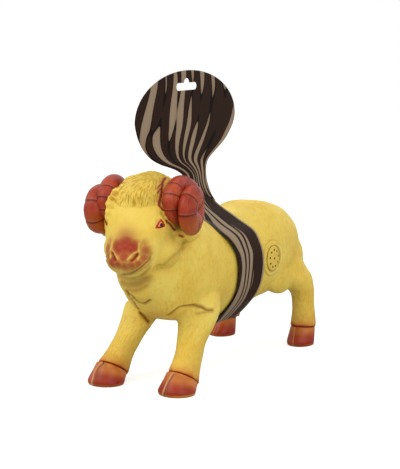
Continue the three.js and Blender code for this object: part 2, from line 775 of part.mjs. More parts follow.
// The switch has a well that the button's stem dips into
const switchBack = boardBack - touch - switchBody.height;
const buttonTip = switchBack + seatGap;
function triggerSwitch() {
  const { width, height } = switchBody;
  const wellEnd = buttonTip + button.travel + seatGap;
  const well = disc(switchBack - drillMargin, wellEnd, button.stem / 2 + fit, unitY, buttonZ, 14);
  return block([height, width, width], [switchBack + height / 2, unitY, buttonZ]).subtract(well);
}

const springRoom = (springTurns + 1) * (springWire + springSpace);
const headTop = unitBack - button.travel - springRoom;

function squeezeButton() {
  const stem = button.stem / 2;
  const headBase = headTop - button.headHeight;
  const flangeBase = unitBack + caseBack + seatGap;
  const flangeTop = flangeBase + button.flangeHeight;
  return turned([
    [headBase, 0],
    [headBase, button.head / 2 - button.round],
    [headBase + button.round, button.head / 2],
    [headTop, button.head / 2],
    [headTop, stem],
    [flangeBase, stem],
    [flangeBase, button.flange / 2],
    [flangeTop, button.flange / 2],
    [flangeTop, stem],
    [buttonTip, stem],
    [buttonTip, 0],
  ], unitY, buttonZ, 14);
}

class SpringPath extends THREE.Curve {
  constructor(x0, x1, radius, turns, y, z) {
    super();
    Object.assign(this, { x0, x1, radius, turns, y, z });
  }

  getPoint(t, target = new THREE.Vector3()) {
    const angle = 2 * Math.PI * this.turns * t;
    return target.set(
      this.x0 + (this.x1 - this.x0) * t,
      this.y + this.radius * Math.cos(angle),
      this.z + this.radius * Math.sin(angle),
    );
  }
}

function roundWire(path, diameter, steps, sides) {
  const section = new THREE.Shape();
  section.absarc(0, 0, diameter / 2, 0, 2 * Math.PI);
  const geometry = new THREE.ExtrudeGeometry(section, { steps, extrudePath: path, bevelEnabled: false, curveSegments: sides });
  return solidOf(geometry);
}

function buttonSpring() {
  const low = headTop + seatGap / 2 + springWire / 2;
  const high = unitBack - seatGap / 2 - springWire / 2;
  const radius = button.stem / 2 + fit + springWire / 2;
  return roundWire(new SpringPath(low, high, radius, springTurns, unitY, buttonZ), springWire, springTurns * 8, 2);
}

function buttonCell(i) {
  const base = unitBack + cellRest + i * (cell.height + touch);
  return turned([
    [base, 0], [base, cellRadius - cell.face], [base + cell.rim, cellRadius - cell.step], [base + cell.rim, cellRadius],
    [base + cell.height, cellRadius], [base + cell.height, 0],
  ], unitY, cellZ);
}

// A plate against the last cell, with a leg to the board
function contactPositive() {
  const plate = disc(cellsEnd, cellsEnd + contact.thickness, contact.plusDiameter / 2, unitY, cellZ, 14);
  const reach = boardBack - touch - cellsEnd;
  const leg = block([reach, contact.legWidth, contact.thickness], [cellsEnd + reach / 2, unitY, cellZ - contact.legDrop]);
  return joined(plate, leg);
}

// A round door over the cells, with an ear for its screw and a grip bar
function batteryDoor() {
  const plate = disc(doorOuter, doorInner, cellRadius + fit + doorMargin, unitY, cellZ);
  const reach = new THREE.Vector2(screwY - unitY, screwZ - cellZ);
  const earRadius = screw.head / 2 + earMargin;
  const ear = block([doorThickness, reach.length(), 2 * earRadius], [0, reach.length() / 2, 0])
    .rotate([THREE.MathUtils.radToDeg(Math.atan2(reach.y, reach.x)), 0, 0])
    .translate([(doorInner + doorOuter) / 2, unitY, cellZ]);
  const tip = disc(doorOuter, doorInner, earRadius, screwY, screwZ, 14);
  const { width, length, height, drop, sunk } = doorGrip;
  const grip = block([width, length, height], [doorOuter + sunk - width / 2, unitY, cellZ - drop]);
  const hole = disc(doorOuter - drillMargin, doorInner + drillMargin, screw.shank / 2 + fit, screwY, screwZ, 12);
  return joined(plate, ear, tip, grip).subtract(hole);
}

function contactNegative() {
  const base = doorInner + contact.seat;
  return disc(base, base + contact.thickness, contact.minusDiameter / 2, unitY, cellZ, 14);
}

function doorScrew() {
  const top = screwSeat - screw.headHeight;
  const body = turned([
    [top, 0], [top, screw.head / 2 - screw.round], [top + screw.round, screw.head / 2],
    [screwSeat, screw.head / 2], [screwSeat, screw.shank / 2],
    [screwSeat + screw.length, screw.shank / 2], [screwSeat + screw.length + screw.point, 0],
  ], screwY, screwZ, 12);
  const { length, width, depth } = screwSlot;
  const slot = (across, up) => block([2 * depth, across, up], [top, screwY, screwZ]);
  return body.subtract(slot(length, width)).subtract(slot(width, length));
}

// A wire from a hole in the board to the back of the speaker, on one side or the other
function leadWire(side) {
  const start = new THREE.Vector3(boardFront - boardThickness / 2, unitY + side * wire.spread, unitZ);
  const end = new THREE.Vector3(speakerBack - touch, start.y - side * wire.inward, unitZ + wire.rise);
  const middle = start.clone().add(end).multiplyScalar(0.5);
  middle.y += side * (wire.bow + wire.inward / 2);
  return roundWire(new THREE.QuadraticBezierCurve3(start, middle, end), wire.diameter, 6, 2);
}

// Finishes
const finishes = {
  skin: { color: 0xe2c864, roughness: 0.55, metalness: 0 },
  horn: { color: 0xb0401e, roughness: 0.45, metalness: 0 },
  hoof: { color: 0xb4441c, roughness: 0.45, metalness: 0 },
  stuffing: { color: 0xf2f0ea, roughness: 0.95, metalness: 0 },
  card: { color: 0x4a3424, roughness: 0.35, metalness: 0 },
  housing: { color: 0xdec260, roughness: 0.5, metalness: 0 },
  innerCase: { color: 0x2b2b2e, roughness: 0.5, metalness: 0 },
  steel: { color: 0xb8b8b4, roughness: 0.3, metalness: 1 },
  ferrite: { color: 0x3a3a3c, roughness: 0.6, metalness: 0.3 },
  paperCone: { color: 0x1c1c1c, roughness: 0.8, metalness: 0 },
  board: { color: 0x2c6b3a, roughness: 0.5, metalness: 0 },
  epoxy: { color: 0x111111, roughness: 0.3, metalness: 0 },
  brass: { color: 0xc9a24a, roughness: 0.35, metalness: 1 },
  redButton: { color: 0xc03a2a, roughness: 0.4, metalness: 0 },
  wireCover: { color: 0x9c2320, roughness: 0.5, metalness: 0 },
};

const toy = new THREE.Group();
function place(name, finish, solid) {
  const mesh = new THREE.Mesh(geometryOf(solid), new THREE.MeshStandardMaterial(finishes[finish]));
  mesh.name = name;
  toy.add(mesh);
}

place('body_skin', 'skin', bodySkin());
place('body_stuffing', 'stuffing', bodyStuffing());
place('head_skin', 'skin', headOuter.subtract(headCavity).subtract(trunkClear));
place('head_stuffing', 'stuffing', faceForm(-skinWall - seatGap, 12, 1).subtract(trunkClear));
for (const side of ['left', 'right']) {
  place(`horn_${side}`, 'horn', hornSolids[side]);
  place(`ear_${side}`, 'skin', earForm(side === 'left' ? 1 : -1));
}
for (const [spot, foot] of Object.entries(feet)) {
  place(`leg_${spot}`, 'skin', legSkin(foot));
  place(`hoof_${spot}`, 'hoof', hoofForm(foot));
}
place('tail', 'skin', tailForm());
place('card_band', 'card', cardBand());
place('card_header', 'card', cardHeader());
place('grille_cap', 'housing', grilleCap());
place('unit_case', 'innerCase', unitCase());
place('speaker_frame', 'steel', speakerFrame());
place('speaker_magnet', 'ferrite', speakerMagnet());
place('speaker_cone', 'paperCone', speakerCone());
place('lead_wire_plus', 'wireCover', leadWire(1));
place('lead_wire_minus', 'wireCover', leadWire(-1));
place('circuit_board', 'board', circuitBoard());
place('sound_chip', 'epoxy', soundChip());
place('trigger_switch', 'innerCase', triggerSwitch());
place('squeeze_button', 'redButton', squeezeButton());
place('button_spring', 'steel', buttonSpring());
for (let i = 0; i < cell.count; i += 1) place(`button_cell_${i + 1}`, 'steel', buttonCell(i));
place('contact_positive', 'brass', contactPositive());
place('contact_negative', 'brass', contactNegative());
place('battery_door', 'innerCase', batteryDoor());
place('door_screw', 'steel', doorScrew());

export default toy;
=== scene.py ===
# %% [markdown]
# A toy ram, rotocast in one piece of soft yellow vinyl, stuffed with fibre, and hung in the shop
# from a striped card that runs round its barrel. The CAD model is the frame: every piece made here
# stands where its solid stands, in metres, with Z up, the nose towards -Y and the left flank on +X.
# The tables below repeat the CAD's sizes in millimetres, and MM turns them to metres.

# %% Frame
import math

import bmesh
import bpy
import numpy as np
from mathutils import Matrix, Vector, noise
from mathutils.bvhtree import BVHTree
from mathutils.kdtree import KDTree


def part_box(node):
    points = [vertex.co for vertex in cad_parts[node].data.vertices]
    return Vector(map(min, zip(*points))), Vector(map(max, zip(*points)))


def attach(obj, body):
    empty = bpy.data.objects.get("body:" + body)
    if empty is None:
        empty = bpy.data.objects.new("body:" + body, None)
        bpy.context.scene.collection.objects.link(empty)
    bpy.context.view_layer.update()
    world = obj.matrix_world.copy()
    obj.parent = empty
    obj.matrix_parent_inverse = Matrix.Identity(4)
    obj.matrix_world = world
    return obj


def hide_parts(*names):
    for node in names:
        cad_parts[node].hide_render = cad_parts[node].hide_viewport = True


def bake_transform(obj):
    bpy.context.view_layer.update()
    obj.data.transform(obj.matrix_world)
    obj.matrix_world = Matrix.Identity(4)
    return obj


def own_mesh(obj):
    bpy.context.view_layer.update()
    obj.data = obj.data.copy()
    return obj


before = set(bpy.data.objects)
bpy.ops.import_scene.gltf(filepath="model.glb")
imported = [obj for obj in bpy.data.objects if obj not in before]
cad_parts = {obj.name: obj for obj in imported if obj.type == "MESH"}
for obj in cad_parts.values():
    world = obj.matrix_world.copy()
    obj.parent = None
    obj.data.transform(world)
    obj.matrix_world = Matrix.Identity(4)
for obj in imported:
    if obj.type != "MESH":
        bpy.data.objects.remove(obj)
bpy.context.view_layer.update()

MM = 0.001


# %% [markdown]
# The camera comes first, because creases and paint lines are placed from it. It stands 1.15 m
# away, 30.5 degrees round from the nose towards the left flank and 9.8 degrees up, with a long lens,
# so the toy is hardly foreshortened. The small shift only frames the picture as the photograph does.

# %% Camera
frame_wide, frame_high = 400, 469
look_at = Vector((0, 0, 0.090))
round_by, up_by, camera_away = math.radians(30.5), math.radians(9.84), 1.150
towards_camera = Vector((
    math.sin(round_by) * math.cos(up_by),
    -math.cos(round_by) * math.cos(up_by),
    math.sin(up_by),
))
camera = bpy.data.objects.new("camera", bpy.data.cameras.new("camera"))
bpy.context.scene.collection.objects.link(camera)
camera.location = look_at + towards_camera * camera_away
camera.rotation_euler = (-towards_camera).to_track_quat("-Z", "Y").to_euler()
camera.data.lens = 106.35
camera.data.sensor_width = 36
camera.data.shift_x = -0.00205
camera.data.shift_y = 0.0506
bpy.context.scene.camera = camera
bpy.context.view_layer.update()
camera_turn = camera.matrix_world.to_3x3()
print("camera at", [round(c, 3) for c in camera.location])


def ray_through(across, down):
    """The direction in which the camera looks through a place in the frame, counted from its top left."""
    reach = frame_high * camera.data.lens / camera.data.sensor_width
    right = across - frame_wide / 2 + camera.data.shift_x * frame_high
    rise = frame_high / 2 - down + camera.data.shift_y * frame_high
    return (camera_turn @ Vector((right, rise, -reach))).normalized()


# %% [markdown]
# Plain soft studio light: one broad key from the upper left, a weaker fill from the right and a white
# surrounding. The lamps are low enough that a colour renders about as it is written. The floor is a
# white plane. To the camera it adds a little light of its own, so that it comes out white and still
# keeps the toy's soft shadow.

# %% Helpers for materials
def linear(code):
    """An sRGB hex colour as the linear red, green, blue and alpha that Blender's nodes take."""
    values = [int(code[i:i + 2], 16) / 255 for i in (1, 3, 5)]
    return tuple(v / 12.92 if v <= 0.04045 else ((v + 0.055) / 1.055) ** 2.4 for v in values) + (1.0,)


def new_material(name):
    """A new material and its Principled shader."""
    finish = bpy.data.materials.new(name)
    finish.use_nodes = True
    return finish, finish.node_tree.nodes["Principled BSDF"]


def feed(node, inputs):
    """Sets a node's inputs. Each is a value, a hex colour, or a link given as (node, output)."""
    for key, value in inputs.items():
        if isinstance(value, tuple) and isinstance(value[0], bpy.types.Node):
            node.id_data.links.new(value[0].outputs[value[1]], node.inputs[key])
        else:
            node.inputs[key].default_value = linear(value) if isinstance(value, str) else value


def add_node(finish, kind, inputs=None, stops=(), **settings):
    """Adds a node with its settings and inputs, and a ramp's stops of (place, hex colour)."""
    node = finish.node_tree.nodes.new("ShaderNode" + kind)
    for key, value in settings.items():
        setattr(node, key, value)
    feed(node, inputs or {})
    if stops:
        while len(node.color_ramp.elements) < len(stops):
            node.color_ramp.elements.new(0.5)
        for element, (place, code) in zip(node.color_ramp.elements, stops):
            element.position = place
            element.color = linear(code)
    return node


def lay_paints(finish, colour, paints):
    """Lays paints over a colour, each as strongly as the attribute of its name says."""
    for name, tone in paints:
        share = add_node(finish, "Attribute", attribute_name=name)
        colour = (add_node(finish, "Mix", {0: (share, "Fac"), 6: colour, 7: tone}, data_type="RGBA"), 2)
    return colour


def dress(piece, *coats):
    """Gives the piece its finishes and shades its faces smooth."""
    piece.data.materials.clear()
    for coat in coats:
        piece.data.materials.append(coat)
    piece.data.polygons.foreach_set("use_smooth", [True] * len(piece.data.polygons))


# %% Light and floor
scene = bpy.context.scene
scene.view_settings.view_transform = "Standard"
world = bpy.data.worlds.new("white studio")
scene.world = world
world.use_nodes = True
seen = add_node(world, "LightPath")
camera_or_through = add_node(
    world, "Math", {0: (seen, "Is Camera Ray"), 1: (seen, "Is Transmission Ray")}, operation="MAXIMUM",
)
or_glossy = add_node(
    world, "Math", {0: (camera_or_through, 0), 1: (seen, "Is Glossy Ray")}, operation="MAXIMUM",
)
strength = add_node(world, "MapRange", {"Value": (or_glossy, 0), "To Min": 0.70, "To Max": 1.0})
feed(world.node_tree.nodes["Background"], {"Color": (1, 1, 1, 1), "Strength": (strength, 0)})


def soft_lamp(name, place, size, power, aim=(0, 0, 0.10)):
    """A square area lamp that faces the toy."""
    lamp = bpy.data.objects.new(name, bpy.data.lights.new(name, "AREA"))
    scene.collection.objects.link(lamp)
    lamp.location = place
    lamp.rotation_euler = (Vector(aim) - Vector(place)).to_track_quat("-Z", "Y").to_euler()
    lamp.data.size = size
    lamp.data.energy = power


soft_lamp("key lamp", (-0.55, -1.15, 1.25), 0.9, 10)
soft_lamp("fill lamp", (1.3, -0.7, 0.7), 1.1, 6.5)
soft_lamp("top lamp", (0.2, 0.5, 1.5), 1.0, 3.5)

bpy.ops.object.select_all(action="DESELECT")
bpy.ops.mesh.primitive_plane_add(size=6, location=(0, 0, 0))
floor = bpy.context.object
floor.name = "floor"
floor_paint, floor_shader = new_material("matt white paper")
feed(floor_shader, {"Base Color": "#BDBDBD", "Roughness": 0.9})
path = add_node(floor_paint, "LightPath")
lit = add_node(floor_paint, "Math", {0: (path, "Is Camera Ray"), 1: 0.72}, operation="MULTIPLY")
glow = add_node(floor_paint, "Emission", {"Color": (1, 1, 1, 1), "Strength": (lit, 0)})
both = add_node(floor_paint, "AddShader", {0: (floor_shader, 0), 1: (glow, 0)})
feed(floor_paint.node_tree.nodes["Material Output"], {"Surface": (both, 0)})
floor.data.materials.append(floor_paint)
print("lamps and floor made")

# %% [markdown]
# Most of the toy is sculpted as clay would be built up: each limb is swept through measured sections.
# In Blender that is a circle whose face is extruded station by station and set to each section's
# outline. A skin node tree or metaballs could do it too, but a sweep keeps to the measured sizes.

# %% Sweeping a limb through its sections
def start_fresh():
    """Leaves edit mode and deselects everything, because operators act on all that is selected."""
    if bpy.context.object and bpy.context.object.mode != "OBJECT":
        bpy.ops.object.mode_set(mode="OBJECT")
    bpy.ops.object.select_all(action="DESELECT")


def work_on(*pieces):
    """Selects these pieces alone and makes the first one active."""
    start_fresh()
    for piece in pieces:
        piece.select_set(True)
    bpy.context.view_layer.objects.active = pieces[0]


def set_open_face(form, ring):
    """Moves the selected end face onto a ring of places."""
    mesh = bmesh.from_edit_mesh(form.data)
    end = next(face for face in mesh.faces if face.select)
    for vertex, place in zip(end.verts, ring):
        vertex.co = place
    bmesh.update_edit_mesh(form.data)


def places_of(piece, what="co"):
    """The piece's vertices as an array, in metres, or their normals."""
    values = np.zeros(len(piece.data.vertices) * 3)
    piece.data.vertices.foreach_get(what, values)
    return values.reshape(-1, 3)


def set_places(piece, places):
    """Puts an array of places back into the piece."""
    piece.data.vertices.foreach_set("co", places.ravel())
    piece.data.update()


def loft(name, rings):
    """A closed form whose end face is extruded once for each ring of places, in metres."""
    start_fresh()
    bpy.ops.mesh.primitive_circle_add(vertices=len(rings[0]), radius=MM, fill_type="NGON")
    form = bpy.context.object
    form.name = form.data.name = name
    bpy.ops.object.mode_set(mode="EDIT")
    bpy.ops.mesh.select_mode(type="FACE")
    set_open_face(form, rings[0])
    for ring in rings[1:]:
        bpy.ops.mesh.extrude_region_move()
        set_open_face(form, ring)
    bpy.ops.mesh.select_all(action="SELECT")
    bpy.ops.mesh.normals_make_consistent(inside=False)
    bpy.ops.object.mode_set(mode="OBJECT")
    form.matrix_world = Matrix.Identity(4)
    return form


def blend_rows(rows, t):
    """A smooth curve through rows of numbers, at t rows along."""
    last = len(rows) - 1
    i = min(int(t), last - 1)
    f = t - i
    a, b, c, d = (np.array(rows[max(0, min(last, k))], float) for k in (i - 1, i, i + 1, i + 2))
    return b + 0.5 * f * (c - a + f * (2 * a - 5 * b + 4 * c - d + f * (3 * (b - c) + d - a)))


def angles_round(sides):
    """The angles of evenly spaced places round a ring."""
    return 2 * np.pi * np.arange(sides) / sides


def section(row, u, v, along, sides, scale=1.0, shift=0.0):
    """One ring: row is x, y, z, half width, reach towards v, reach away from v, tilt, fullness."""
    angle = angles_round(sides)
    full = 2 / row[7]
    cos = np.sign(np.cos(angle)) * np.abs(np.cos(angle)) ** full
    sin = np.sign(np.sin(angle)) * np.abs(np.sin(angle)) ** full
    side = row[3] * cos * scale
    rise = np.where(np.sin(angle) > 0, row[4], row[5]) * sin * scale
    push = shift + row[6] * rise
    places = row[:3] + np.outer(side, u) + np.outer(rise, v) + np.outer(push, along)
    return places * MM


def sweep(name, stations, u, v, along, domes, sides=40, turn=None):
    """Lofts a form through stations in mm and closes each end with a dome of that length."""
    rings_per_span, dome_steps = 4, 7
    untilted_and_round = [0, 2]
    u, v, along = (np.array(w, float) for w in (u, v, along))
    stations = [list(s) + untilted_and_round[len(s) - 6:] for s in stations]
    spans = (len(stations) - 1) * rings_per_span
    rows = [blend_rows(stations, i / rings_per_span) for i in range(spans + 1)]
    dome = [math.pi / 2 * (1 - j / dome_steps) for j in range(1, dome_steps)]
    start, end = (
        [section(row, u, v, along, sides, math.sin(a), length * math.cos(a)) for a in dome if length]
        for row, length in ((rows[0], -domes[0]), (rows[-1], domes[1]))
    )
    rings = start[::-1] + [section(row, u, v, along, sides) for row in rows] + end
    if turn is not None:
        rings = [turn(ring) for ring in rings]
    return loft(name, rings)


# %% [markdown]
# The trunk is one barrel from rump to chest. Each row gives the distance along the body, the height
# of the widest line, the half width, the rise above it, the drop below it, and how square it is.

# %% Trunk
trunk_rows = [
    [118, 92, 31, 25, 31, 2.1], [102, 90, 38.5, 36, 39, 2.4], [80, 88, 40.5, 42, 40, 2.5],
    [54, 86, 39.2, 41, 41.6, 2.3], [22, 82, 36.6, 42, 45, 2], [-8, 83, 36.8, 43, 44, 2],
    [-36, 84, 37, 50, 39, 2.2], [-60, 87, 34.5, 56, 38, 2.2], [-80, 92, 28.5, 52, 34, 2.1],
    [-94, 97, 21, 38, 26, 2],
]
X, Y, Z = (1, 0, 0), (0, 1, 0), (0, 0, 1)
trunk = sweep(
    "trunk", [[0, y, z, side, rise, drop, 0, full] for y, z, side, rise, drop, full in trunk_rows],
    X, Z, (0, -1, 0), (11.8, 12), sides=56,
)
print("trunk:", len(trunk.data.vertices), "vertices")

# %% [markdown]
# The head is built straight and then turned ten degrees to its left about the neck. Its places are
# given as lateral (left is positive), forward and up. The face runs down a 30 degree slope, and a cap
# of wool sits on the crown.

# %% Head
head_pivot_y = -72
head_turn = math.radians(10)
cos_turn, sin_turn = math.cos(head_turn), math.sin(head_turn)


def turn_head(places):
    """Turns places in metres about the neck pivot, and moves them there."""
    x, y = places[:, 0], places[:, 1]
    turned = np.stack([x * cos_turn - y * sin_turn, x * sin_turn + y * cos_turn, places[:, 2]], 1)
    return turned + np.array([0, head_pivot_y * MM, 0])


def to_head(places):
    """Places in the frame, in metres, as lateral, forward and up in millimetres."""
    x = places[:, 0] / MM
    y = places[:, 1] / MM - head_pivot_y
    return np.stack([x * cos_turn + y * sin_turn, x * sin_turn - y * cos_turn, places[:, 2] / MM], 1)


slope = math.radians(30)
down_face = np.array([0, -math.sin(slope), -math.cos(slope)])
out_of_face = np.array([0, -math.cos(slope), math.sin(slope)])
crown = np.array([0, -12, 167])
face_rows = [
    [4, 20, 14, 18], [14, 26, 18, 28], [30, 27.5, 17.5, 33], [44, 25.5, 17.5, 35],
    [56, 23, 18, 33], [65, 20.5, 16.8, 27], [74, 18, 14.5, 19],
]
face = sweep(
    "face", [[*(crown + down_face * down), side, front, back] for down, side, front, back in face_rows],
    X, out_of_face, down_face, (7, 6.5), sides=48, turn=turn_head,
)


def ball(name, middle, reach, segments=48, turn=None):
    """A closed ball with its middle and its reach along X, Y and Z in mm, turned with the head if told."""
    start_fresh()
    bpy.ops.mesh.primitive_uv_sphere_add(segments=segments, ring_count=segments // 2, radius=1)
    form = bpy.context.object
    form.name = name
    bpy.ops.object.mode_set(mode="EDIT")
    bpy.ops.transform.resize(value=[r * MM for r in reach])
    bpy.ops.transform.translate(value=[m * MM for m in middle])
    bpy.ops.object.mode_set(mode="OBJECT")
    if turn is not None:
        set_places(form, turn(places_of(form)))
    return form


def head_ball(name, middle, reach, segments=48):
    """A ball on the head: its middle is given as lateral, forward and up."""
    lateral, forward, up = middle
    return ball(name, (lateral, -forward, up), reach, segments, turn_head)


cap = head_ball("wool cap", (1.5, 16, 153), (24.5, 27.5, 17.3), 56)
cheeks = [head_ball("cheek", (sign * 17.5, 24, 112), (13, 17, 14), 32) for sign in (1, -1)]
print("head: face", len(face.data.vertices), "and cap", len(cap.data.vertices), "vertices")

# %% [markdown]
# Legs and tail are shorter sweeps of the same kind, and the ears are flattened balls. The front legs
# lean back from the hooves to the shoulders, and the hind legs bend at the hock.

# %% Legs, ears and tail
front_hoof = {
    "half_width": 15, "toe": 14, "heel": 13, "height": 10.3, "tilt": 0.62, "ankle_back": 8.5,
    "top_side": 0.79, "top_toe": 1.02, "top_heel": 0.9,
}
hind_hoof = {
    "half_width": 11.8, "toe": 14, "heel": 12.5, "height": 15.8, "tilt": 0.1, "ankle_back": 4,
    "top_side": 0.92, "top_toe": 0.78, "top_heel": 0.82,
}
front_leg_rows = [
    [0, 0, 1, 11.2, 13.8, 14.2], [12, 1.7, 10.2, 10, 12.8, 12.8], [24, 4, 20.4, 10.8, 14.3, 13.6],
    [36, 6, 31, 14.6, 15, 15], [48, 8, 39, 17, 17, 18], [62, 11, 43, 15, 17, 18],
]
hind_leg_rows = [
    [0, 0, 0, 11.6, 11.3, 12.3], [9, 0, 0.6, 10.4, 10.6, 11.4], [20, 0.5, 1.2, 9.8, 10.6, 10.6],
    [31, 1.6, 0.6, 10.8, 12.2, 11.2], [44, 6, -2, 14, 25, 14.8], [52, 10, -6, 14.2, 25, 16.5],
    [62, 14, -10, 14, 24, 16.5],
]
far_hind_leg_rows = [
    [0, 1, 2, 11.6, 11.3, 12.3], [7, 2.5, 5, 10.4, 10.6, 12], [14, 3, 5.5, 10, 10.6, 11.6],
    [22, 2.6, 5, 9.8, 10.6, 10.6], [31, 3, 3, 10.8, 12.2, 11.2], *hind_leg_rows[4:],
]
feet = {
    "front_left": (32, -91, front_hoof, front_leg_rows),
    "front_right": (-33, -92.5, front_hoof, front_leg_rows),
    "hind_left": (40, 107.5, hind_hoof, hind_leg_rows),
    "hind_right": (-40, 107, hind_hoof, far_hind_leg_rows),
}
legs = []
for spot, (x, y, hoof, rows) in feet.items():
    stations = [
        [
            x - math.copysign(inward, x), y + hoof["ankle_back"] + back, hoof["height"] + rise,
            side, fore, rear, hoof["tilt"] * max(0, 1 - rise / 30),
        ]
        for rise, inward, back, side, fore, rear in rows
    ]
    legs.append(sweep("leg " + spot, [s + [2] for s in stations], X, (0, -1, 0), Z, (0, 8), sides=36))

ears = [head_ball("ear", (sign * 31, 9, 124.4), (10, 15, 8), 32) for sign in (1, -1)]
tail_rows = [[113, 120.5, 7, 5, 5], [105, 125.3, 7.6, 5, 5], [95, 127.7, 7.4, 5.2, 5], [86, 128, 6, 5, 5]]
tail = sweep(
    "tail", [[0, y, z, side, rear, fore, 0, 2] for z, y, side, rear, fore in tail_rows],
    X, Y, (0, 0, -1), (4, 5), sides=24,
)
print("limbs:", len(legs), "legs,", len(ears), "ears, 1 tail")

# %% [markdown]
# On the real toy all of that is a single vinyl skin, so the forms are joined and remeshed into one
# closed surface. A voxel remesh melts the overlaps together as clay would. A Boolean union would keep
# hard seams. The lines where the camera sees creases are found first, while the forms are light, by
# looking through the frame at them.

# %% Joining the forms
def join(pieces, name):
    """Joins pieces into the first one."""
    work_on(*pieces)
    bpy.ops.object.join()
    whole = bpy.context.object
    whole.name = whole.data.name = name
    return whole


def tree_of(piece, faces="loop_triangles"):
    """A search tree of a piece's triangles, or of its polygons."""
    piece.data.calc_loop_triangles()
    return BVHTree.FromPolygons(
        [v.co.copy() for v in piece.data.vertices], [tuple(f.vertices) for f in getattr(piece.data, faces)],
    )


thighs = [ball("thigh", (sign * 30.5, 85, 66), (9.5, 26, 16.8), 40) for sign in (1, -1)]
thighs += [ball("haunch", (sign * 31, 104, 78), (8.5, 17, 20), 40) for sign in (1, -1)]
skin = join([trunk, face, cap, *cheeks, *legs, *thighs, *ears, tail], "vinyl_skin")
form_tree = tree_of(skin)


def seen_at(across, down):
    """The place on the joined forms that the camera sees there."""
    hit = form_tree.ray_cast(camera.location, ray_through(across, down))
    return None if hit[0] is None else np.array(hit[0])


def seen_line(*points):
    """A polyline on the forms, by places in the frame; a place beside the toy is left out."""
    found = [seen_at(*p) for p in points]
    return np.array([p for p in found if p is not None])


def other_side(line):
    """The same line on the far side of the face."""
    lateral = to_head(line)
    lateral[:, 0] *= -1
    straight = np.stack([lateral[:, 0], -lateral[:, 1], lateral[:, 2]], 1) * MM
    return turn_head(straight)


# %% Curls and lumps round the cap
curl_rows = [
    ((-17, 28, 161.5), 3.4), ((-18.5, 34.5, 157.8), 3.6), ((-19, 39, 152.8), 3.8), ((-20, 41, 147.6), 3.8),
    ((-20, 42.5, 141.8), 3.4), ((-20.5, 42, 136.8), 3.0), ((21.5, 28.5, 142.2), 3.2),
    ((22.5, 28, 137.4), 2.7),
]
curls = [head_ball("curl", middle, (size, size * 0.9, size * 0.8), 20) for middle, size in curl_rows]
near_lumps_seen = [((165.6, 211.8), 1.8), ((167.6, 217.0), 1.7)]
far_lump_heights_seen = [(182.5, 2.2), (189.5, 2.7), (198, 3.0), (206.4, 2.5), (213, 1.9)]
far_edge_sought, lump_inset = np.arange(98, 130, 0.4), 3.2
lumps = [(seen_at(*at), radius) for at, radius in near_lumps_seen]
for down, radius in far_lump_heights_seen:
    edge = next((x for x in far_edge_sought if seen_at(x, down) is not None), None)
    if edge is not None:
        lumps.append((seen_at(edge + lump_inset, down), radius))
print("curls:", len(curls), "and", len(lumps), "lumps")

# %% One moulding
def apply_modifier(piece, kind, **settings):
    """Adds a modifier with its settings and applies it."""
    work_on(piece)
    made = piece.modifiers.new(kind.lower(), kind)
    for key, value in settings.items():
        setattr(made, key, value)
    bpy.ops.object.modifier_apply(modifier=made.name)


def smooth_out(piece, times, share=0.5, back=0.53):
    """Smooths without shrinking: each step in is followed by a slightly larger step out."""
    edges = np.zeros(len(piece.data.edges) * 2, int)
    piece.data.edges.foreach_get("vertices", edges)
    a, b = edges.reshape(-1, 2).T
    co = places_of(piece)
    count = np.bincount(np.concatenate([a, b]), minlength=len(co))[:, None]
    for _ in range(times):
        for step in (share, -back):
            mean = np.zeros_like(co)
            for axis in range(3):
                mean[:, axis] = np.bincount(a, co[b, axis], len(co)) + np.bincount(b, co[a, axis], len(co))
            co = co + step * (mean / count - co)
    set_places(piece, co)


skin = join([skin, *curls], "vinyl_skin")
coarse, rounds = ((0.0017, 5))
apply_modifier(skin, "REMESH", mode="VOXEL", voxel_size=coarse, use_smooth_shade=True)
smooth_out(skin, rounds)
apply_modifier(skin, "SUBSURF", levels=1, render_levels=1)
print("skin:", len(skin.data.vertices), "vertices in one closed surface")

# %% [markdown]
# The wool is embossed: short strokes that run down the neck and legs, round the barrel, and out from
# a parting on the cap. Each vertex gets its distance along and across the strokes as an attribute, so
# that the finish can draw them with the grain of the coat. Random strokes in object space would run
# straight through the body instead of lying on it.

# %% Which way the wool lies
def smooth_step(value, low, high):
    """0 below low, 1 above high, and a soft rise between them."""
    t = np.clip((value - low) / (high - low), 0, 1)
    return t * t * (3 - 2 * t)


def noise_at(places, size, seed=0):
    """Soft noise from -1 to 1 at places in mm, with lumps of that size in mm."""
    shift = Vector((13.7 * seed, 5.1 * seed, 9.3 * seed))
    stretched = places / np.array(size)
    return np.array([noise.noise(Vector(p) + shift) for p in stretched])


chest_from, leg_top, parting_seen = -52, 52, (156, 177)


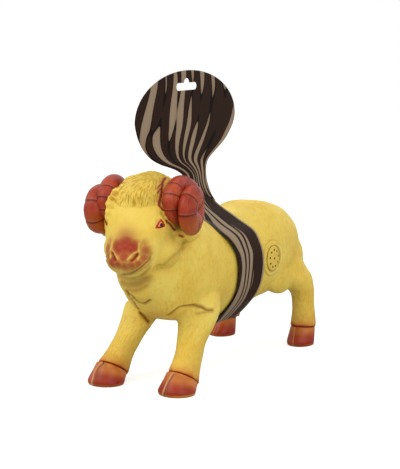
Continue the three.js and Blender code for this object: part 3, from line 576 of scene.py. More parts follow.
def wool_flow(places):
    """Distance along and across the strokes in mm, and how deep the strokes are, at each place."""
    x, y, z = (places / MM).T
    head = to_head(places)
    lateral, forward, up = head.T
    along = np.abs(np.arctan2(x, z - 84)) * 40 + 0.25 * y
    across = y - 0.3 * z
    depth = np.full(len(places), 0.38)
    chest = y < chest_from
    along = np.where(chest, z, along)
    across = np.where(chest, np.arctan2(x, -(y + 40)) * 34, across)
    depth = depth * (0.15 + 0.85 * smooth_step(np.abs(y - chest_from), 0.5, 4))
    for foot_x, foot_y, hoof, rows in feet.values():
        rise = np.clip(z - hoof["height"], 0, 58)
        centre_y = foot_y + hoof["ankle_back"] + np.interp(rise, [r[0] for r in rows], [r[2] for r in rows])
        on_leg = (z < leg_top) & (np.sign(x) == np.sign(foot_x)) & (np.abs(y - centre_y) < 32)
        along = np.where(on_leg, z, along)
        across = np.where(on_leg, np.arctan2(x - foot_x, centre_y - y) * 12, across)
        depth = np.where(on_leg, 0.45, depth)
    depth = depth * (0.15 + 0.85 * smooth_step(np.abs(z - leg_top), 0.3, 3))
    on_head = (forward > 16) | ((up > 128) & (forward > -14)) | ((up > 118) & (forward > 4))
    down = -(forward - 12) * 0.5 + (167 - up) * 0.866
    along = np.where(on_head, down, along)
    across = np.where(on_head, np.arctan2(lateral, forward + 8) * 30, across)
    depth = np.where(on_head, 0.10 + 0.12 * smooth_step(forward, 45, 30), depth)
    reach = np.sqrt((lateral / 26) ** 2 + ((forward - 17) / 27.5) ** 2 + ((up - 153) / 17.5) ** 2)
    on_cap = smooth_step(reach, 1.10, 1.02) * smooth_step(up, 143, 149)
    on_cap = np.maximum(on_cap, smooth_step(up, 148.5, 152) * smooth_step(forward, -16, -12))
    parting = to_head(np.array([seen_at(*parting_seen)]))[0]
    from_parting = head - parting
    cap_along = np.linalg.norm(from_parting, axis=1)
    cap_across = np.arctan2(from_parting[:, 1], from_parting[:, 0]) * 22
    along = np.where(on_cap > 0.5, cap_along, along)
    across = np.where(on_cap > 0.5, cap_across, across)
    depth = depth * (1 - on_cap) + on_cap * (0.6 + 0.4 * smooth_step(cap_along, 1, 4))
    return along, across, depth, on_cap


def lower_far_crown(piece):
    """The wool is flatter on the crown's far side: it is let down by up to 3.4 mm there."""
    let_down = 3.4
    places = places_of(piece)
    lateral, forward, up = to_head(places).T
    far_share = smooth_step(lateral, 9, -9)
    places[:, 2] -= let_down * MM * far_share * smooth_step(up, 150, 164) * smooth_step(forward, -20, -8)
    set_places(piece, places)


lower_far_crown(skin)
along, across, wool_depth, on_cap = wool_flow(places_of(skin))
print("wool depth from", round(float(wool_depth.min()), 2), "to", round(float(wool_depth.max()), 2))

# %% [markdown]
# Creases, mouth and nostrils are modelled as a sculptor draws them: lines of places that the camera
# sees, each pressed in or raised by a soft groove of its own width and depth in millimetres. Along the
# same lines the colour is darkened as painted shade. Soft rings stand round each eye and the port.

# %% Drawing lines on the skin
def eased(line, steps=5):
    """The line with smooth curves between its places."""
    if len(line) < 3:
        return line
    return np.array([blend_rows(line, i / steps) for i in range((len(line) - 1) * steps + 1)])


def bell(gap, width, middle=0.0, power=2):
    """1 at a gap equal to middle, and a soft fall to 0 on both sides of it."""
    return np.exp(-np.abs((gap - middle) / width) ** power)


def gap_to(places, centre):
    """The distance in mm from each place to a centre, both given in metres."""
    return np.linalg.norm(places - centre, axis=1) / MM


def distance_along_skin(places, normals, line, reach=5.0):
    """Distance in mm from each place to the line, measured in the skin rather than through it."""
    best = np.full(len(places), 1e3)
    low, high = line.min(0) - reach * 2 * MM, line.max(0) + reach * 2 * MM
    near = np.flatnonzero(np.all((places > low) & (places < high), axis=1))
    p, n = places[near], normals[near]
    found = np.full(len(near), 1e3)
    for a, b in zip(line[:-1], line[1:]):
        ab = b - a
        t = np.clip(((p - a) @ ab) / max(ab @ ab, 1e-12), 0, 1)
        gap = p - a - t[:, None] * ab
        through = np.abs(np.einsum("ij,ij->i", gap, n))
        flat = np.sqrt(np.maximum(np.einsum("ij,ij->i", gap, gap) - through ** 2, 0))
        found = np.minimum(found, np.where(through < reach * MM, flat, 1.0) / MM)
    best[near] = found
    return best


mouth_seen = seen_line(
    (111.6, 271.2), (115.5, 273.2), (119.6, 274.3), (124.2, 274.7), (128.6, 274.0), (133, 272.4),
    (137.5, 270.2), (143.8, 265.6), (148.7, 260.3), (150.8, 256.8),
)
mouth = np.concatenate([other_side(mouth_seen[-2:])[::-1], mouth_seen])

# Name, depth, width, strength of the painted shade along it, width of that shade, where else it lies, and its
# places in the frame.
crease_rows = [
    ("nostril", 2.0, 1.2, 0, 1, "face", [(137.6, 254.4), (136, 256.6), (133.6, 259.2), (131, 261.2)]),
    ("nostril rim", -0.9, 0.9, 0, 1, "face", [
        (139.6, 251.6), (136.6, 252.0), (133.2, 254), (130.4, 257), (127.6, 260),
    ]),
    ("nostril rim", -0.5, 1.0, 0, 1, "face", [(139.2, 243.5), (138.9, 249), (138.8, 255), (138.2, 260)]),
    ("throat fold", 1.5, 1.0, 0.85, 1.2, "", [
        (126, 291), (129.5, 294), (133.5, 297.4), (137.2, 300.6), (140.5, 303), (143.4, 303.9),
        (146.4, 302.9), (150, 300.4),
    ]),
    ("chest fold", 1.6, 1.2, 1.0, 1.3, "", [
        (126, 291.5), (128.4, 295), (130.8, 298.6), (133.2, 302), (135.6, 305.6), (138, 309),
        (140.6, 312.6), (143.4, 316), (146.4, 319.2), (149.4, 322.4), (152.5, 325),
    ]),
    ("top of the foreleg", 1.6, 1.2, 0.8, 1.3, "body", [
        (168, 315.6), (176, 310), (182, 307), (192, 306), (201, 306.7), (207, 310), (213, 310),
    ]),
    ("fold above the foreleg", 0.8, 0.9, 0.4, 1.2, "", [(197, 313.4), (204, 312.4), (213, 311.8)]),
    ("jaw", 1.3, 2.2, 0.30, 3.0, "face", [
        (184.5, 241), (182.8, 245.6), (178.6, 253.4), (170.5, 260.8), (162, 266.4), (153, 270.6),
    ]),
    ("lower throat", 1.0, 1.6, 0.5, 2.2, "", [(120, 287), (128, 290.5), (136, 291.5), (146, 286)]),
    ("upper throat", 0.8, 1.3, 0.5, 2.0, "", [(124, 283), (131, 286), (140, 284)]),
    ("under the chin", 1.2, 2.2, 0.5, 2.6, "", [
        (117.5, 277), (124, 279.4), (131, 279.6), (138.5, 277.6), (145, 273.6), (150.5, 268),
    ]),
    ("hollow of the throat", 0.7, 4.0, 0.62, 4.8, "", [(122, 283), (130, 285), (138.5, 283.5), (146, 279)]),
    ("brow", 1.0, 0.9, 0.35, 1.2, "face", [(161.5, 213), (164.4, 217.5), (167, 222.5)]),
]
creases = [("mouth", eased(mouth), 1.3, 0.8, 1.0, 0.85)]
for name, depth, width, paint, paint_width, also_on, places_seen in crease_rows:
    line = seen_line(*places_seen)
    if len(line) < 2:
        continue
    lines = [line]
    if also_on:
        lines.append(other_side(line) if also_on == "face" else line * np.array([-1, 1, 1]))
    creases += [(name, eased(made), depth, width, paint, paint_width) for made in lines]
creases.append(("lower lip", eased(mouth + np.array([0, 0, -1.9]) * MM), -0.5, 1.0, 0.5, 2.0))
creases.append(("upper lip", eased(mouth + np.array([0, 0, 2.1]) * MM), -0.35, 1.0, 0.5, 2.0))
eye_socket_seen = (160.6, 224.6)
eye_middle = seen_at(*eye_socket_seen)
far_eye_middle = other_side(np.array([eye_middle]))[0]

# %% Pressing the detail into the skin
co, normal = places_of(skin), places_of(skin, "normal")
mm = co / MM
# Height in mm, size in mm and seed of the cast's own unevenness.
uneven = [(0.45, 17, 1), (0.16, 6, 2)]
raise_by = sum(rise * noise_at(mm, size, seed) for rise, size, seed in uneven)
lump_rise, lump_spread, gap_depth, gap_reach, gap_start = 1.8, 1.35, 0.5, 2.6, 1.3
between = np.zeros(len(co))
domes = np.zeros(len(co))
for centre, radius in lumps:
    if centre is not None:
        gap = gap_to(co, centre) * (1 + 0.12 * noise_at(mm, 3, 15))
        domes = np.maximum(domes, 1 - np.minimum(gap / (radius * lump_spread), 1) ** 2)
        between = np.maximum(between, smooth_step(gap, radius * gap_reach, radius * gap_start))
raise_by += lump_rise * domes ** 0.65 - gap_depth * between
off_lumps = 1 - 0.9 * np.minimum(domes * 2.5, 1)
wool_depth = wool_depth * off_lumps
flow = np.stack([along, across, np.zeros_like(along)], 1)
stroke_size, tuft_size = (5.2, 1.9, 1), (9, 4.2, 1)
strokes = noise_at(flow, stroke_size, 3)
raise_by += strokes * (0.14 * wool_depth + 0.14 * on_cap * off_lumps)
tufts = noise_at(flow, tuft_size, 4)
raise_by += tufts * (0.12 * wool_depth + 0.05 * on_cap * off_lumps)

# The gaps between the lumps are painted darker as shade.
wash = 0.26 * between * (1 - np.sqrt(domes)) ** 4
pressed = np.zeros(len(co))
# Each crease also darkens the colour along its line: painted shade, as strong as its fifth column says.
for name, line, depth, width, paint, paint_width in creases:
    gap = distance_along_skin(co, normal, line)
    if depth > 0:
        pressed = np.maximum(pressed, bell(gap, width) * depth)
    else:
        raise_by -= bell(gap, width) * depth
    wash = np.maximum(wash, paint * bell(gap, paint_width))
raise_by -= pressed

# Height, radius and width in mm of the rings round each eye, then of those round the sound unit, and
# the strength, radius and width of the shade painted on the rings round the unit.
eye_rings = [(0.40, 5.0, 1.3), (-0.22, 7.4, 1.4), (-0.7, 0, 3.2)]
port_rings = [(0.25, 14.0, 0.5), (-0.25, 15.3, 0.6)]
port_washes = [(0.30, 15.3, 0.6), (0.45, 11.2, 0.7)]
for centre in (eye_middle, far_eye_middle):
    gap = gap_to(co, centre)
    raise_by += sum(rise * bell(gap, width, radius) for rise, radius, width in eye_rings)

unit_y, unit_z, flank_from = 54.5, 85.3, 20
collar_out, collar_in, collar_rise = 15.2, 14.2, 0.55
from_axis = np.hypot(mm[:, 1] - unit_y, mm[:, 2] - unit_z)
on_flank = mm[:, 0] > flank_from
collar = np.where(on_flank, smooth_step(from_axis, collar_out, collar_in), 0)
raise_by = raise_by * (1 - collar) + collar * collar_rise
raise_by += on_flank * sum(rise * bell(from_axis, width, radius) for rise, radius, width in port_rings)
# The groove and the rim round the port are painted darker as shade.
ring_wash = sum(share * bell(from_axis, width, radius) for share, radius, width in port_washes)
wash = np.maximum(wash, on_flank * ring_wash)
set_places(skin, co + normal * raise_by[:, None] * MM)
print("raised and pressed by up to", [round(float(v), 2) for v in (raise_by.max(), raise_by.min())], "mm")

# %% [markdown]
# The ram is sprayed by hand: a red-brown blush on the nose, a red line where the horns meet the wool,
# and an orange mist over each hoof. Each paint gets its own attribute, from 0 to 1, and the vinyl's
# finish lays the paints over each other.

# %% Sprayed paint
def sprayed(centre, radius, hardness=2.0):
    """A round spray of paint that fades at its edge."""
    return bell(gap_to(co, centre), radius, power=hardness)


def brushed(line, width):
    """A brushed line of paint, in mm."""
    ragged = width * (1 + 0.35 * noise_at(mm, 1.8, 7))
    return bell(distance_along_skin(co, normal, eased(line)), ragged, power=4)


# Place in the frame, radius in mm, hardness of its edge, and strength of each spray on the nose.
blush_seen = [
    ((118.4, 247.5), 7.4, 3, 0.95), ((125, 245.4), 8.4, 3, 1.0), ((132, 247.6), 7.0, 3, 0.95),
    ((125, 240), 9.5, 2, 0.55), ((113.6, 258.6), 4.6, 2.5, 0.95), ((111.8, 263.4), 4.6, 2.5, 0.8),
    ((117.5, 264), 5.0, 2, 0.8), ((124.5, 266.2), 5.6, 2, 0.66), ((131.5, 265.4), 5.4, 2, 0.70),
    ((124.0, 256.5), 5.4, 2.4, 0.85), ((138.4, 263.4), 5.2, 2, 0.70), ((144.4, 258), 4.8, 2.2, 0.66),
    ((145.6, 250.6), 4.8, 2.2, 0.66), ((143.8, 243.6), 4.0, 2, 0.40), ((125, 232), 7, 2, 0.22),
]
off_middle = 8
blush = np.zeros(len(co))
for at, radius, hardness, share in blush_seen:
    middle = seen_at(*at)
    blush = np.maximum(blush, share * sprayed(middle, radius, hardness))
    if to_head(np.array([middle]))[0][0] > off_middle:
        far_middle = other_side(np.array([middle]))[0]
        blush = np.maximum(blush, share * sprayed(far_middle, radius, hardness))
blush = (1 - (1 - np.clip(blush, 0, 1)) ** 1.9) * (0.97 + 0.04 * noise_at(mm, 2.5, 8))
nostril = np.zeros(len(co))
for name, line, _, width, *_ in creases:
    if name == "nostril rim":
        blush = blush * (1 - 0.75 * bell(distance_along_skin(co, normal, line), width * 0.62))
    if name == "nostril":
        nostril = np.maximum(nostril, bell(distance_along_skin(co, normal, line), 1.5, power=3))
blush = np.maximum(blush, nostril)
to_mouth = distance_along_skin(co, normal, eased(mouth), reach=6)
lip_lateral, lip_height = [-25, -15, 0, 15, 25], [106, 101, 97.5, 101, 106]
over_lip = mm[:, 2] - np.interp(to_head(co)[:, 0], lip_lateral, lip_height)
on_chin = smooth_step(over_lip, 0.5, -1.0) * smooth_step(to_mouth, 30, 20)
blush = np.clip(blush * smooth_step(to_mouth, 1.4, 2.4) * (1 - on_chin), 0, 1)

# Places in the frame and width in mm of each brushed line.
red_lines_seen = [
    ([(165.5, 178), (163, 181.5), (162, 188), (160.6, 196), (158.8, 205)], 1.25),
    ([(162.3, 183.5), (160, 185), (158, 188)], 0.7),
    ([(161.4, 188), (159, 190.5), (157.6, 193)], 0.7),
    ([(158.8, 205), (161.5, 208.5), (164.6, 211.4)], 0.9),
    ([(166.6, 221), (170.5, 225), (175.3, 230.6)], 1.0),
    ([(179.5, 235.5), (182.5, 236.8)], 1.2),
]
red_line = np.zeros(len(co))
to_parting = np.full(len(co), 1e3)
for places_seen, width in red_lines_seen:
    line = seen_line(*places_seen)
    if len(line) > 1:
        red_line = np.maximum(red_line, brushed(line, width))
        red_line = np.maximum(red_line, brushed(other_side(line) + np.array([0, 5, 0]) * MM, width))
        to_parting = np.minimum(to_parting, distance_along_skin(co, normal, eased(line), reach=9))
stroke_tint = bell(to_parting, 5.5) * on_cap * smooth_step(-strokes, -0.05, 0.35)
red_line = np.maximum(red_line, 0.5 * stroke_tint)
mist = np.zeros(len(co))
ankle_red = np.zeros(len(co))
patchy = 1 + 0.55 * noise_at(mm, (6, 6, 9), 9)
leg_half_wide, leg_half_long = 22, 40
for foot_x, foot_y, hoof, _ in feet.values():
    centre_y = foot_y + hoof["ankle_back"]
    mine = (np.abs(mm[:, 0] - foot_x) < leg_half_wide) & (np.abs(mm[:, 1] - centre_y) < leg_half_long)
    above = mm[:, 2] - hoof["height"] - hoof["tilt"] * (centre_y - mm[:, 1])
    off_hoof = np.maximum(above, 0)
    near_hoof = 0.8 * bell(off_hoof, 4.8, power=1.2) + 0.24 * bell(off_hoof, 18.0, power=1)
    mist = np.maximum(mist, np.where(mine, near_hoof * patchy, 0))
    ankle_red = np.maximum(ankle_red, np.where(mine, smooth_step(above, 2.2, 0.8), 0))
mist = np.clip(mist, 0, 1)
red_line = np.maximum(red_line, 0.8 * ankle_red)


def set_attributes(piece, **values):
    """Stores an attribute of each name: one value, or one vector, for each vertex."""
    for name, numbers in values.items():
        numbers = np.asarray(numbers, np.float32)
        kind, field = ("FLOAT_VECTOR", "vector") if numbers.ndim == 2 else ("FLOAT", "value")
        made = piece.data.attributes.new(name, kind, "POINT")
        made.data.foreach_set(field, numbers.ravel())


set_attributes(
    skin, wool_flow=flow, wool_depth=wool_depth * (1 - collar), nose_blush=blush,
    red_line=np.clip(red_line, 0, 1), ankle_mist=mist, crease_wash=np.clip(wash, 0, 1),
)
print("blush covers", int((blush > 0.5).sum()), "vertices, red lines", int((red_line > 0.5).sum()))

# %% [markdown]
# The sound unit sits in a round port in the left flank. The faces inside its circle are taken out,
# the cut edge is drawn to a true circle, and that edge is extruded inwards: first the vinyl sleeve,
# then a step outwards, then the pocket in the fibre filling, closed at its end.

# %% Port and pocket
port_radius, port_lip, sleeve_end = 11.0, 39.2, 31.7
pocket_radius, pocket_middle, pocket_end = 12.9, 14, -2.1


def select_where(form, kind, test):
    """In edit mode, selects the vertices or the edges that pass a test."""
    bpy.ops.mesh.select_all(action="DESELECT")
    bpy.ops.mesh.select_mode(type=kind)
    mesh = bmesh.from_edit_mesh(form.data)
    for part in mesh.verts if kind == "VERT" else mesh.edges:
        part.select = test(part)
    mesh.select_flush_mode()
    bmesh.update_edit_mesh(form.data)


def from_unit(place):
    """How far a place in metres stands from the sound unit's axis, in mm."""
    return math.hypot(place[1] / MM - unit_y, place[2] / MM - unit_z)


def set_on_circle(form, radius, x_place=None):
    """Moves each selected vertex onto a circle round the sound unit's axis."""
    mesh = bmesh.from_edit_mesh(form.data)
    for vertex in mesh.verts:
        if vertex.select:
            x, y, z = vertex.co / MM
            share = radius / math.hypot(y - unit_y, z - unit_z)
            level = x if x_place is None else x_place
            vertex.co = Vector((level, unit_y + (y - unit_y) * share, unit_z + (z - unit_z) * share)) * MM
    bmesh.update_edit_mesh(form.data)


work_on(skin)
bpy.ops.object.mode_set(mode="EDIT")
select_where(skin, "VERT", lambda v: v.co.x / MM > flank_from and from_unit(v.co) < port_radius - 0.1)
bpy.ops.mesh.delete(type="VERT")
select_where(skin, "EDGE", lambda edge: edge.is_boundary)
set_on_circle(skin, port_radius)
port_steps = [
    (port_radius, port_lip), (port_radius, sleeve_end), (pocket_radius, sleeve_end - 0.2),
    (pocket_radius, pocket_middle), (pocket_radius, pocket_end),
]
for radius, x_place in port_steps:
    bpy.ops.mesh.extrude_region_move()
    set_on_circle(skin, radius, x_place)
bpy.ops.mesh.edge_face_add()
bpy.ops.object.mode_set(mode="OBJECT")
print("port cut at radius", port_radius, "mm, pocket ends at X", pocket_end, "mm")

# %% [markdown]
# Soft vinyl for toys is plasticised PVC, spun in a mould: satin, a little waxy, with soft highlights.
# Its colour goes right through. The strokes are drawn along the wool's flow, about 1.3 mm wide and
# 5 mm long, and a grain under a millimetre is the mould's own sandblasted skin.

# %% Vinyl skin finish
vinyl, vinyl_shader = new_material("soft PVC vinyl, rotocast and sprayed")
flow_in = add_node(vinyl, "Attribute", attribute_name="wool_flow")
depth_in = add_node(vinyl, "Attribute", attribute_name="wool_depth")
stroke_map = add_node(vinyl, "Mapping", {"Vector": (flow_in, "Vector"), "Scale": (0.20, 0.78, 1)})
stroke = add_node(
    vinyl, "TexNoise",
    {"Vector": (stroke_map, 0), "Scale": 1.0, "Detail": 2.0, "Roughness": 0.55, "Distortion": 0.55},
    noise_dimensions="2D",
)
where_in = add_node(vinyl, "TexCoord")
grain, cloud, hide = (
    add_node(vinyl, "TexNoise", {"Vector": (where_in, "Object"), "Scale": scale, "Detail": detail})
    for scale, detail in ((1150.0, 2.0), (38.0, 3.0), (340.0, 2.5))
)
yellow = add_node(
    vinyl, "ValToRGB", {"Fac": (cloud, "Fac")}, [(0.30, "#E0BC46"), (0.52, "#E8C956"), (0.72, "#EED566")],
)
# The low parts of the strokes are painted darker as shade, more so where the wool is deeper.
in_grooves = add_node(vinyl, "ValToRGB", {"Fac": (stroke, "Fac")}, [(0.34, "#D9BE72"), (0.52, "#FFFFFF")])
groove_share = add_node(vinyl, "Math", {0: (depth_in, "Fac"), 1: 1.4}, operation="POWER")
shaded = add_node(
    vinyl, "Mix", {0: (groove_share, 0), 6: (yellow, "Color"), 7: (in_grooves, "Color")},
    data_type="RGBA", blend_type="MULTIPLY",
)
blush_tone = add_node(vinyl, "ValToRGB", {"Fac": (cloud, "Fac")}, [(0.35, "#8E1B09"), (0.65, "#A22A11")])
# The first of these darkens the creases as painted shade; the ankle mist, the nose blush and the red lines
# are the toy's own sprayed paint.
painted = lay_paints(vinyl, (shaded, 2), [
    ("crease_wash", "#8A5210"), ("ankle_mist", "#C2661E"), ("nose_blush", (blush_tone, "Color")),
    ("red_line", "#8C1412"),
])
stroke_depth = add_node(vinyl, "Math", {0: (depth_in, "Fac"), 1: 0.95}, operation="MULTIPLY")
bump = {}
for height, strong, deep in ((stroke, (stroke_depth, 0), 0.0010), (hide, 0.7, 0.0010), (grain, 0.22, 0.0003)):
    made = add_node(vinyl, "Bump", {"Height": (height, "Fac"), "Strength": strong, "Distance": deep, **bump})
    bump = {"Normal": (made, 0)}
feed(vinyl_shader, {
    "Base Color": painted, "Roughness": 0.5, "IOR": 1.5, "Specular IOR Level": 0.24,
    "Subsurface Weight": 0.15, "Subsurface Radius": (1.0, 0.5, 0.15), "Subsurface Scale": 0.003, **bump,
})

fibre, fibre_shader = new_material("polyester fibre filling, carded")
fibre_where = add_node(fibre, "TexCoord")
fluff = add_node(
    fibre, "TexNoise",
    {"Vector": (fibre_where, "Object"), "Scale": 420.0, "Detail": 5.0, "Distortion": 1.5},
)
fluff_tone = add_node(fibre, "ValToRGB", {"Fac": (fluff, "Fac")}, [(0.3, "#D9D6CC"), (0.7, "#F6F5F0")])
fluff_bump = add_node(fibre, "Bump", {"Height": (fluff, "Fac"), "Strength": 0.8, "Distance": 0.0008})
feed(fibre_shader, {"Base Color": (fluff_tone, 0), "Normal": (fluff_bump, 0), "Roughness": 0.95})
dress(skin, vinyl, fibre)
for polygon in skin.data.polygons:
    in_pocket = pocket_end - 0.5 < polygon.center.x / MM < sleeve_end
    if in_pocket and from_unit(polygon.center) < pocket_radius + 0.2:
        polygon.material_index = 1
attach(skin, "toy")
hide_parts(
    "body_skin", "head_skin", "ear_left", "ear_right", "leg_front_left", "leg_front_right",
    "leg_hind_left", "leg_hind_right", "tail", "body_stuffing", "head_stuffing",
)
print("skin finished with", len(skin.data.polygons), "faces")

# %% [markdown]
# Each horn is a coil of one and a half turns. On the real toy it is part of the same moulding, dipped
# red-brown. It is swept as a tube whose radius dips at each ring groove, and the distance from the
# nearest groove is kept as an attribute for the paint.

# %% Horns
# Radius in mm at the tip and at the end, degrees swept, then each turn's middle and reach in mm.
horn_tube = (7.8, 9.2)
horn_sweep = 450
inner_turn = {"lateral": 28.2, "forward": 15, "height": 148.5, "reach": 19.5, "rise": 14.5}
outer_turn = {"lateral": 37.6, "forward": 22, "height": 143, "reach": 10.1, "rise": 9.7}
horn_grooves = {
    "left": [-52, -10, 23, 50, 150, 245, 285, 352, 401, 480],
    "right": [-52, -12, 14, 39, 150, 245, 285, 335, 384, 480],
}
horn_flatness = {"left": 0.30, "right": 0.12}
horn_base_shift = {"left": np.array([0, 0, 0]), "right": np.array([-2.5, 0, -1.3])}
horn_end_shift = {"left": np.array([0, 0, 0]), "right": np.array([-1.1, 0, -1.6])}
horn_fuller_end = 1.3
horn_tip_groove = -52
# Depth, width and sharpness of a groove's cut and of the hollow round it.
horn_groove_shape = [(0.42, 0.5, 1.5), (0.34, 3.2, 2)]
horn_round = 0.98


def horn_centre(degrees):
    """The coil's centre line: lateral, forward and up in mm."""
    own_share = {"lateral": float(smooth_step(degrees, 30, 330))}
    at = {
        key: start + (outer_turn[key] - start) * own_share.get(key, degrees / horn_sweep)
        for key, start in inner_turn.items()
    }
    angle = math.radians(degrees)
    forward = at["forward"] + at["reach"] * math.cos(angle)
    return np.array([at["lateral"], -forward, at["height"] + at["rise"] * math.sin(angle)])


def horn_radius(degrees):
    """The tube's radius in mm, thinner towards the tip by the eye."""
    grown = smooth_step(degrees, horn_tip_groove - 60, horn_tip_groove + 90)
    full = horn_tube[0] + (horn_tube[1] - horn_tube[0]) * degrees / horn_sweep
    return float(full * (0.35 + 0.65 * grown))


def ring_places(form, rings):
    """For each vertex of a lofted form, the number of the ring place that it stands at."""
    lookup = KDTree(sum(len(ring) for ring in rings))
    for i, place in enumerate(np.concatenate(rings)):
        lookup.insert(place, i)
    lookup.balance()
    return np.array([lookup.find(v.co)[1] for v in form.data.vertices])


def make_horn(side_name, sign):
    """One horn, with its grooves pressed in and its length and grooves kept as attributes."""
    sides, rings, notes = 44, [], []
    degrees, fine_until, last = -66.0, 300, 484
    stations = []
    while degrees <= last:
        stations.append(degrees)
        degrees += 2.0 if degrees < fine_until else 2.5
    travelled = 0.0
    for i, at in enumerate(stations):
        centre, before, after = horn_centre(at), horn_centre(at - 1), horn_centre(at + 1)
        step = np.linalg.norm(after - before) / 2
        travelled += step * (stations[i] - stations[i - 1] if i else 0)
        tangent = (after - before) / np.linalg.norm(after - before)
        side = np.array([1.0, 0, 0]) - tangent[0] * tangent
        side /= np.linalg.norm(side)
        outward = np.cross(tangent, side)
        gap = min(((at - groove) * step for groove in horn_grooves[side_name]), key=abs)
        dip = sum(depth * bell(gap, width, power=power) for depth, width, power in horn_groove_shape)
        settled = float(smooth_step(at, 110, 330))
        radius = horn_radius(at) + 0.1 + horn_fuller_end * settled - dip
        flat = horn_round - horn_flatness[side_name] * settled
        centre = centre + np.array([(horn_round - flat) * radius, 0, 0])
        centre = centre + horn_base_shift[side_name] + horn_end_shift[side_name] * settled
        angle = angles_round(sides)
        ring = centre + radius * (np.outer(np.cos(angle) * flat, side) + np.outer(np.sin(angle), outward))
        ring[:, 0] *= sign
        rings.append(turn_head(ring * MM))
        outer_low = float(smooth_step(at, 230, 300)) * smooth_step(ring[:, 2], 146, 130)
        notes += [(travelled, a * radius, gap, math.cos(a), low) for a, low in zip(angle, outer_low)]
    far_from_grooves = 6
    for end, way in ((0, -1), (-1, 1)):
        middle = rings[end].mean(0)
        spokes = rings[end] - middle
        axis = np.cross(spokes[0], spokes[sides // 4])
        axis /= np.linalg.norm(axis)
        reach = np.linalg.norm(spokes, axis=1).mean()
        beyond = rings[end] - rings[1 if end == 0 else -2]
        axis *= np.sign(beyond.mean(0) @ axis) * (0.9 if way < 0 else 0.95)
        closing = [
            middle + spokes * math.cos(a) + axis * reach * math.sin(a)
            for a in (0.25, 0.5, 0.75, 1.0, 1.25, 1.45)
        ]
        if way < 0:
            rings = closing[::-1] + rings
            notes = [(-j * 0.6, 0, far_from_grooves, 0, 0) for j in range(6, 0, -1) for _ in angle] + notes
        else:
            rings = rings + closing
            notes = notes + [(travelled + j, 0, far_from_grooves, 0, 0) for j in range(1, 7) for _ in angle]
    horn = loft("horn_coil_" + side_name, rings)
    found = np.array(notes)[ring_places(horn, rings)]
    co_here, normal_here = places_of(horn), places_of(horn, "normal")
    growth_lines = noise_at(found[:, :3] * (1 / 9.0, 1 / 1.1, 0), 1, 12)
    wander = 0.16 * noise_at(co_here / MM, 6, 11) + 0.05 * growth_lines
    set_places(horn, co_here + normal_here * wander[:, None] * MM)
    set_attributes(
        horn, horn_flow=found[:, :3], horn_ring=found[:, 2],
        horn_outer_face=smooth_step(found[:, 3], 0.0, 0.6), horn_low=found[:, 4],
    )
    return horn


horns = {"left": make_horn("left", 1), "right": make_horn("right", -1)}
print("horns:", [len(h.data.vertices) for h in horns.values()], "vertices")

# %% [markdown]
# The horn paint is a sprayed enamel over the vinyl. Its grooves are painted darker as shade, and the
# lip beside each groove paler as a painted highlight.

# %% Sprayed horn and hoof finishes
def sprayed_enamel(name, dark, mid, light):
    """Red-brown spray over vinyl: cloudy, with fine speckle, half gloss."""
    finish, shader = new_material(name)
    feed(shader, {"Roughness": 0.38, "IOR": 1.5, "Specular IOR Level": 0.28})
    place_in = add_node(finish, "TexCoord")
    clouds = add_node(
        finish, "TexNoise", {"Vector": (place_in, "Object"), "Scale": 75.0, "Detail": 3.0, "Roughness": 0.5},
    )
    tone = add_node(finish, "ValToRGB", {"Fac": (clouds, "Fac")}, [(0.30, dark), (0.5, mid), (0.70, light)])
    speckle = add_node(finish, "TexNoise", {"Vector": (place_in, "Object"), "Scale": 900.0, "Detail": 1.0})
    return finish, shader, (tone, "Color"), speckle


horn_paint, horn_shader, horn_tone, horn_speckle = sprayed_enamel(
    "sprayed enamel on vinyl horn", "#86200C", "#9E3014", "#B24A20",
)
ring_gap, horn_low, outer_face, horn_flow = (
    add_node(horn_paint, "Attribute", attribute_name=name)
    for name in ("horn_ring", "horn_low", "horn_outer_face", "horn_flow")
)
ring_off = add_node(horn_paint, "Math", {0: (ring_gap, "Fac")}, operation="ABSOLUTE")
ring_share = add_node(horn_paint, "Math", {0: (ring_off, 0), 1: 0.1}, operation="MULTIPLY")
# The grooves are painted darker as shade.
ring_tone = add_node(
    horn_paint, "ValToRGB", {"Fac": (ring_share, 0)},
    [(0.0, "#6A1C10"), (0.018, "#8A3020"), (0.045, "#E8DCD6"), (0.16, "#FFFFFF")],
)
low_share = add_node(horn_paint, "Math", {0: (horn_low, "Fac"), 1: 0.6}, operation="MULTIPLY")
horn_base = add_node(horn_paint, "Mix", {0: (low_share, 0), 6: horn_tone, 7: "#B4601E"}, data_type="RGBA")
ring_dark = add_node(
    horn_paint, "Mix", {0: 0.85, 6: (horn_base, 2), 7: (ring_tone, "Color")},
    data_type="RGBA", blend_type="MULTIPLY",
)
beyond_ring = add_node(
    horn_paint, "Math", {0: (ring_gap, "Fac"), 1: 0.1}, operation="MULTIPLY", use_clamp=True,
)
# A paler line beside each groove is a painted highlight.
lip_on = add_node(
    horn_paint, "ValToRGB", {"Fac": (beyond_ring, 0)},
    [(0.0, "#000000"), (0.035, "#000000"), (0.07, "#7A7A7A"), (0.13, "#000000")],
)
horn_lip = add_node(
    horn_paint, "Mix", {0: (lip_on, "Color"), 6: (ring_dark, 2), 7: "#DB9460"}, data_type="RGBA",
)
growth_map = add_node(horn_paint, "Mapping", {"Vector": (horn_flow, "Vector"), "Scale": (0.06, 0.8, 0)})
growth = add_node(
    horn_paint, "TexNoise", {"Vector": (growth_map, 0), "Scale": 1.0, "Detail": 1.0}, noise_dimensions="2D",
)
growth_strength = add_node(
    horn_paint, "Math", {0: (outer_face, "Fac"), 1: 0.5, 2: 0.15}, operation="MULTIPLY_ADD",
)
growth_bump = add_node(
    horn_paint, "Bump", {"Height": (growth, "Fac"), "Strength": (growth_strength, 0), "Distance": 0.0018},
)
horn_grain = add_node(
    horn_paint, "Bump",
    {"Height": (horn_speckle, "Fac"), "Strength": 0.12, "Distance": 0.0003, "Normal": (growth_bump, 0)},
)
feed(horn_shader, {"Base Color": (horn_lip, 2), "Normal": (horn_grain, 0)})
for side, horn in horns.items():
    dress(horn, horn_paint)
    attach(horn, "toy")
    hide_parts("horn_" + side)
